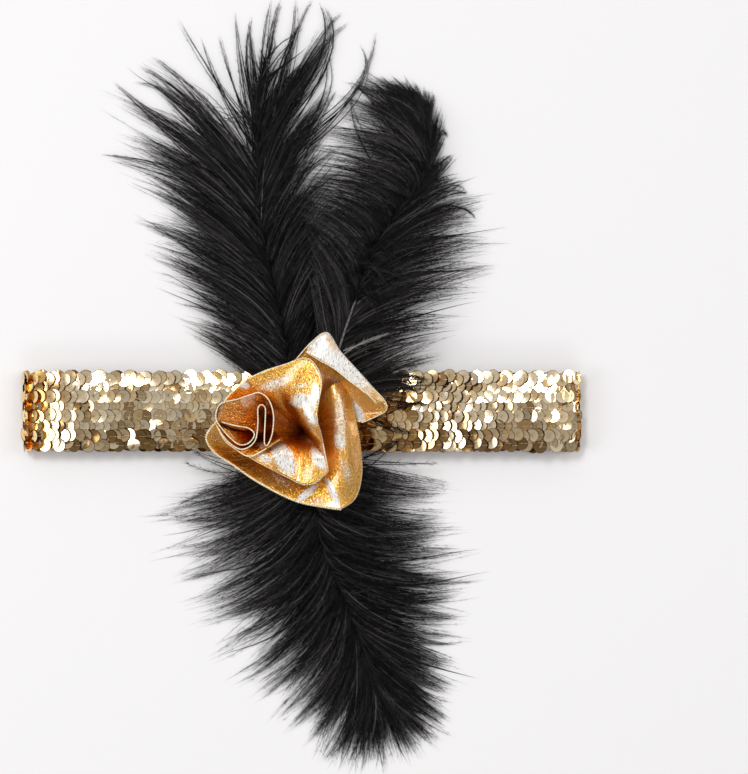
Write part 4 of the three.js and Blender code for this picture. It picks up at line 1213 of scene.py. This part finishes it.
# Fine barbules on both sides of each barb: slim triangles that lean forwards.
def barbuleMesh(paths, downy, draw):
    count, steps = paths.shape[:2]
    many = plume["barbules"]
    forward = unit(np.gradient(paths, axis=1))
    side = unit(np.cross(forward, upwards))
    place = 0.94 * draw.random((count, many)) ** 0.9
    at = place * (steps - 1)
    i = np.minimum(at.astype(int), steps - 2)
    blend = (at - i)[..., None]
    pick = np.arange(count)[:, None]
    start = paths[pick, i] * (1 - blend) + paths[pick, i + 1] * blend
    along = forward[pick, i]
    hand = np.where(np.arange(many) % 2 == 0, 1.0, -1.0)[None, :, None]
    angle = draw.normal(0.42, 0.18, (count, many, 1))
    rise = draw.normal(0, 0.3, (count, many, 1)) * upwards
    taper = 1 - 0.8 * place[..., None] ** 4
    length = plume["barbuleLength"] * downy * draw.uniform(0.5, 1.25, (count, many, 1)) * taper
    end = start + unit(along * np.cos(angle) + side[pick, i] * hand * np.sin(angle) + rise) * length
    thin = along * plume["barbuleWidth"] / 2
    corners = np.stack([start - thin, start + thin, end], 2)
    corners[..., 2] = np.maximum(corners[..., 2], lowest)
    return corners.reshape(-1, 3), np.arange(count * many * 3).reshape(-1, 3)


# A plume: barbs with barbules, flat blades of down below them, and the quill as a tapered tube.
def makePlume(name, rows, looks):
    draw = np.random.default_rng(seed + len(name) * 7)
    sides = ("left", "right", "end")
    vane = np.concatenate([strandPaths(rows, side, looks, draw) for side in sides])
    cover = np.concatenate([strandPaths(rows, side, looks, draw, "cover") for side in sides[:2]])
    strayLines, strayTones = strayPaths(strays[name], draw)
    paths = np.concatenate([vane, cover, strayLines])
    # Random tone per barb; the lightest ones stand in for sheen (painted sheen).
    tones = 0.95 * draw.random(len(vane) + len(cover)) ** looks["tone"]
    tones[len(vane) :] *= plume["coverTone"]
    toneOfBarb = np.concatenate([tones, strayTones])
    count = len(paths)
    root, tip = plume["barbRoot"], plume["barbTip"]
    barbWidth = lambda t: tip + (root - tip) * (1 - t) ** 1.5 - tip * 0.9 * t**6
    ribs = ribbonMesh(paths, barbWidth, draw.normal(0, 0.6, (count, 1, 1)))
    points, faces = joined([ribs, barbuleMesh(paths, looks["downy"], draw)])
    perBarb = (plume["barbSteps"] * 2, plume["barbules"] * 3)
    tone = np.concatenate([np.repeat(toneOfBarb, many) for many in perBarb])
    barbs = meshPiece(name + "_barbs", points, faces, attributes={"tone": tone})
    bladePaths = np.concatenate([strandPaths(rows, side, looks, draw, "blades") for side in sides])
    bladeWidth = lambda t: plume["bladeWidth"] * (1 - t) ** 1.1
    bladeRolls = draw.normal(0, 0.25, (len(bladePaths), 1, 1))
    bladePoints, bladeFaces = ribbonMesh(bladePaths, bladeWidth, bladeRolls)
    bladeTone = np.repeat(draw.random(len(bladePaths)) * 0.5, plume["barbSteps"] * 2)
    down = meshPiece(name + "_down", bladePoints, bladeFaces, attributes={"tone": bladeTone})
    at = np.linspace(0, 1, 60)
    radii = plume["quillRoot"] * (1 - at) + plume["quillTip"] * at
    quillPoints, quillFaces = tube(quillPoint(rows, at), radii, 10)
    quill = meshPiece(name + "_quill", quillPoints, quillFaces)
    print(name, "barbs", count, "triangles", len(faces) + len(bladeFaces))
    return barbs, down, quill


# Nearly black barbs, lighter by the tone attribute: a random tone per barb whose lightest greys are painted
# sheen on the strands.
def featherMaterial():
    material, tree, shader = newMaterial("dark barbs", (0.006, 0.005, 0.006), 0.5, 0)
    shader.inputs["Specular IOR Level"].default_value = 0.12
    tone = addNode(tree, "ShaderNodeAttribute", {"attribute_name": "tone"})
    colors = ramp(tree, [
        (0.0, (0.0012, 0.001, 0.001)), (0.45, (0.004, 0.0034, 0.0036)), (0.75, (0.022, 0.02, 0.02)),
        (0.95, (0.085, 0.078, 0.078)), (1.0, (0.35, 0.33, 0.32)),
    ])
    tree.links.new(tone.outputs["Fac"], colors.inputs["Fac"])
    tree.links.new(colors.outputs["Color"], shader.inputs["Base Color"])
    return material


# Grey quill, its colour following the grain.
def quillMaterial():
    stops = [(0.3, (0.03, 0.027, 0.028)), (0.7, (0.16, 0.15, 0.15))]
    return fibreMaterial("grey quill", ((0.12, 0.11, 0.11), 0.4, 0), 900.0, stops)


# Camera straight above the photograph's middle
def makeCamera():
    data = bpy.data.cameras.new("camera")
    data.sensor_width = 36
    data.lens = 36 * (view["distance"] - view["focusLevel"]) / view["frameHeight"]
    camera = bpy.data.objects.new("camera", data)
    camera.location = (*view["centre"], view["distance"])
    bpy.context.scene.collection.objects.link(camera)
    bpy.context.scene.camera = camera


# A rectangular lamp that points at the origin.
def makeLight(name, place, size, power):
    data = bpy.data.lights.new(name, "AREA")
    data.shape = "RECTANGLE"
    data.size, data.size_y = size
    data.energy = power
    light = bpy.data.objects.new(name, data)
    light.location = place
    light.rotation_euler = Vector(place).to_track_quat("Z", "Y").to_euler()
    bpy.context.scene.collection.objects.link(light)


# A pale floor, a sky brighter on one side, and the lamps.
def makeStudio():
    size = studio["floorHalf"]
    points = np.array([[-size, -size, 0], [size, -size, 0], [size, size, 0], [-size, size, 0]])
    floor = meshPiece("floor", points, np.array([[0, 1, 2, 3]]), smooth=False)
    material, tree, shader = newMaterial("pale floor", studio["floorColor"], 0.8, 0)
    shader.inputs["Specular IOR Level"].default_value = 0.1
    floor.data.materials.append(material)
    # The room is brighter towards one side of the sky than the other.
    world = bpy.data.worlds.new("studio")
    world.use_nodes = True
    tree = world.node_tree
    coords = addNode(tree, "ShaderNodeTexCoord")
    along = addNode(tree, "ShaderNodeVectorMath", {"operation": "DOT_PRODUCT"}, {1: studio["brightSide"]})
    shade = ramp(tree, [(place, (value, value, value)) for place, value in studio["sky"]])
    tree.links.new(coords.outputs["Generated"], along.inputs[0])
    tree.links.new(along.outputs["Value"], shade.inputs["Fac"])
    tree.links.new(shade.outputs["Color"], tree.nodes["Background"].inputs["Color"])
    bpy.context.scene.world = world
    for name, light in studio["lights"].items():
        makeLight(name, *light)
    bpy.context.scene.view_settings.view_transform = "Standard"


makeCamera()
makeStudio()
print("band")
knit, loopLength = makeBand()
knit.data.materials.append(knitMaterial())
sequins, stitches = makeSequins()
sequins.data.materials.append(sequinMaterial())
stitches.data.materials.append(stitchMaterial())
for piece in (knit, sequins, stitches):
    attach(piece, "root")
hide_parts("band_loop")

print("rose")
ribbon, hem, clothArea = makeRose()
ribbon.data.materials.append(lameMaterial())
hem.data.materials.append(hemMaterial())
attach(ribbon, "root")
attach(hem, "root")
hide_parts("ribbon_rose")

print("plumes")
featherLook, quillLook = featherMaterial(), quillMaterial()
for plumeName, plumeRows in plumes.items():
    barbs, down, quill = makePlume(plumeName, plumeRows, plumeLooks[plumeName])
    barbs.data.materials.append(featherLook)
    down.data.materials.append(featherLook)
    quill.data.materials.append(quillLook)
    for piece in (barbs, down, quill):
        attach(piece, "root")
    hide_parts(plumeName)
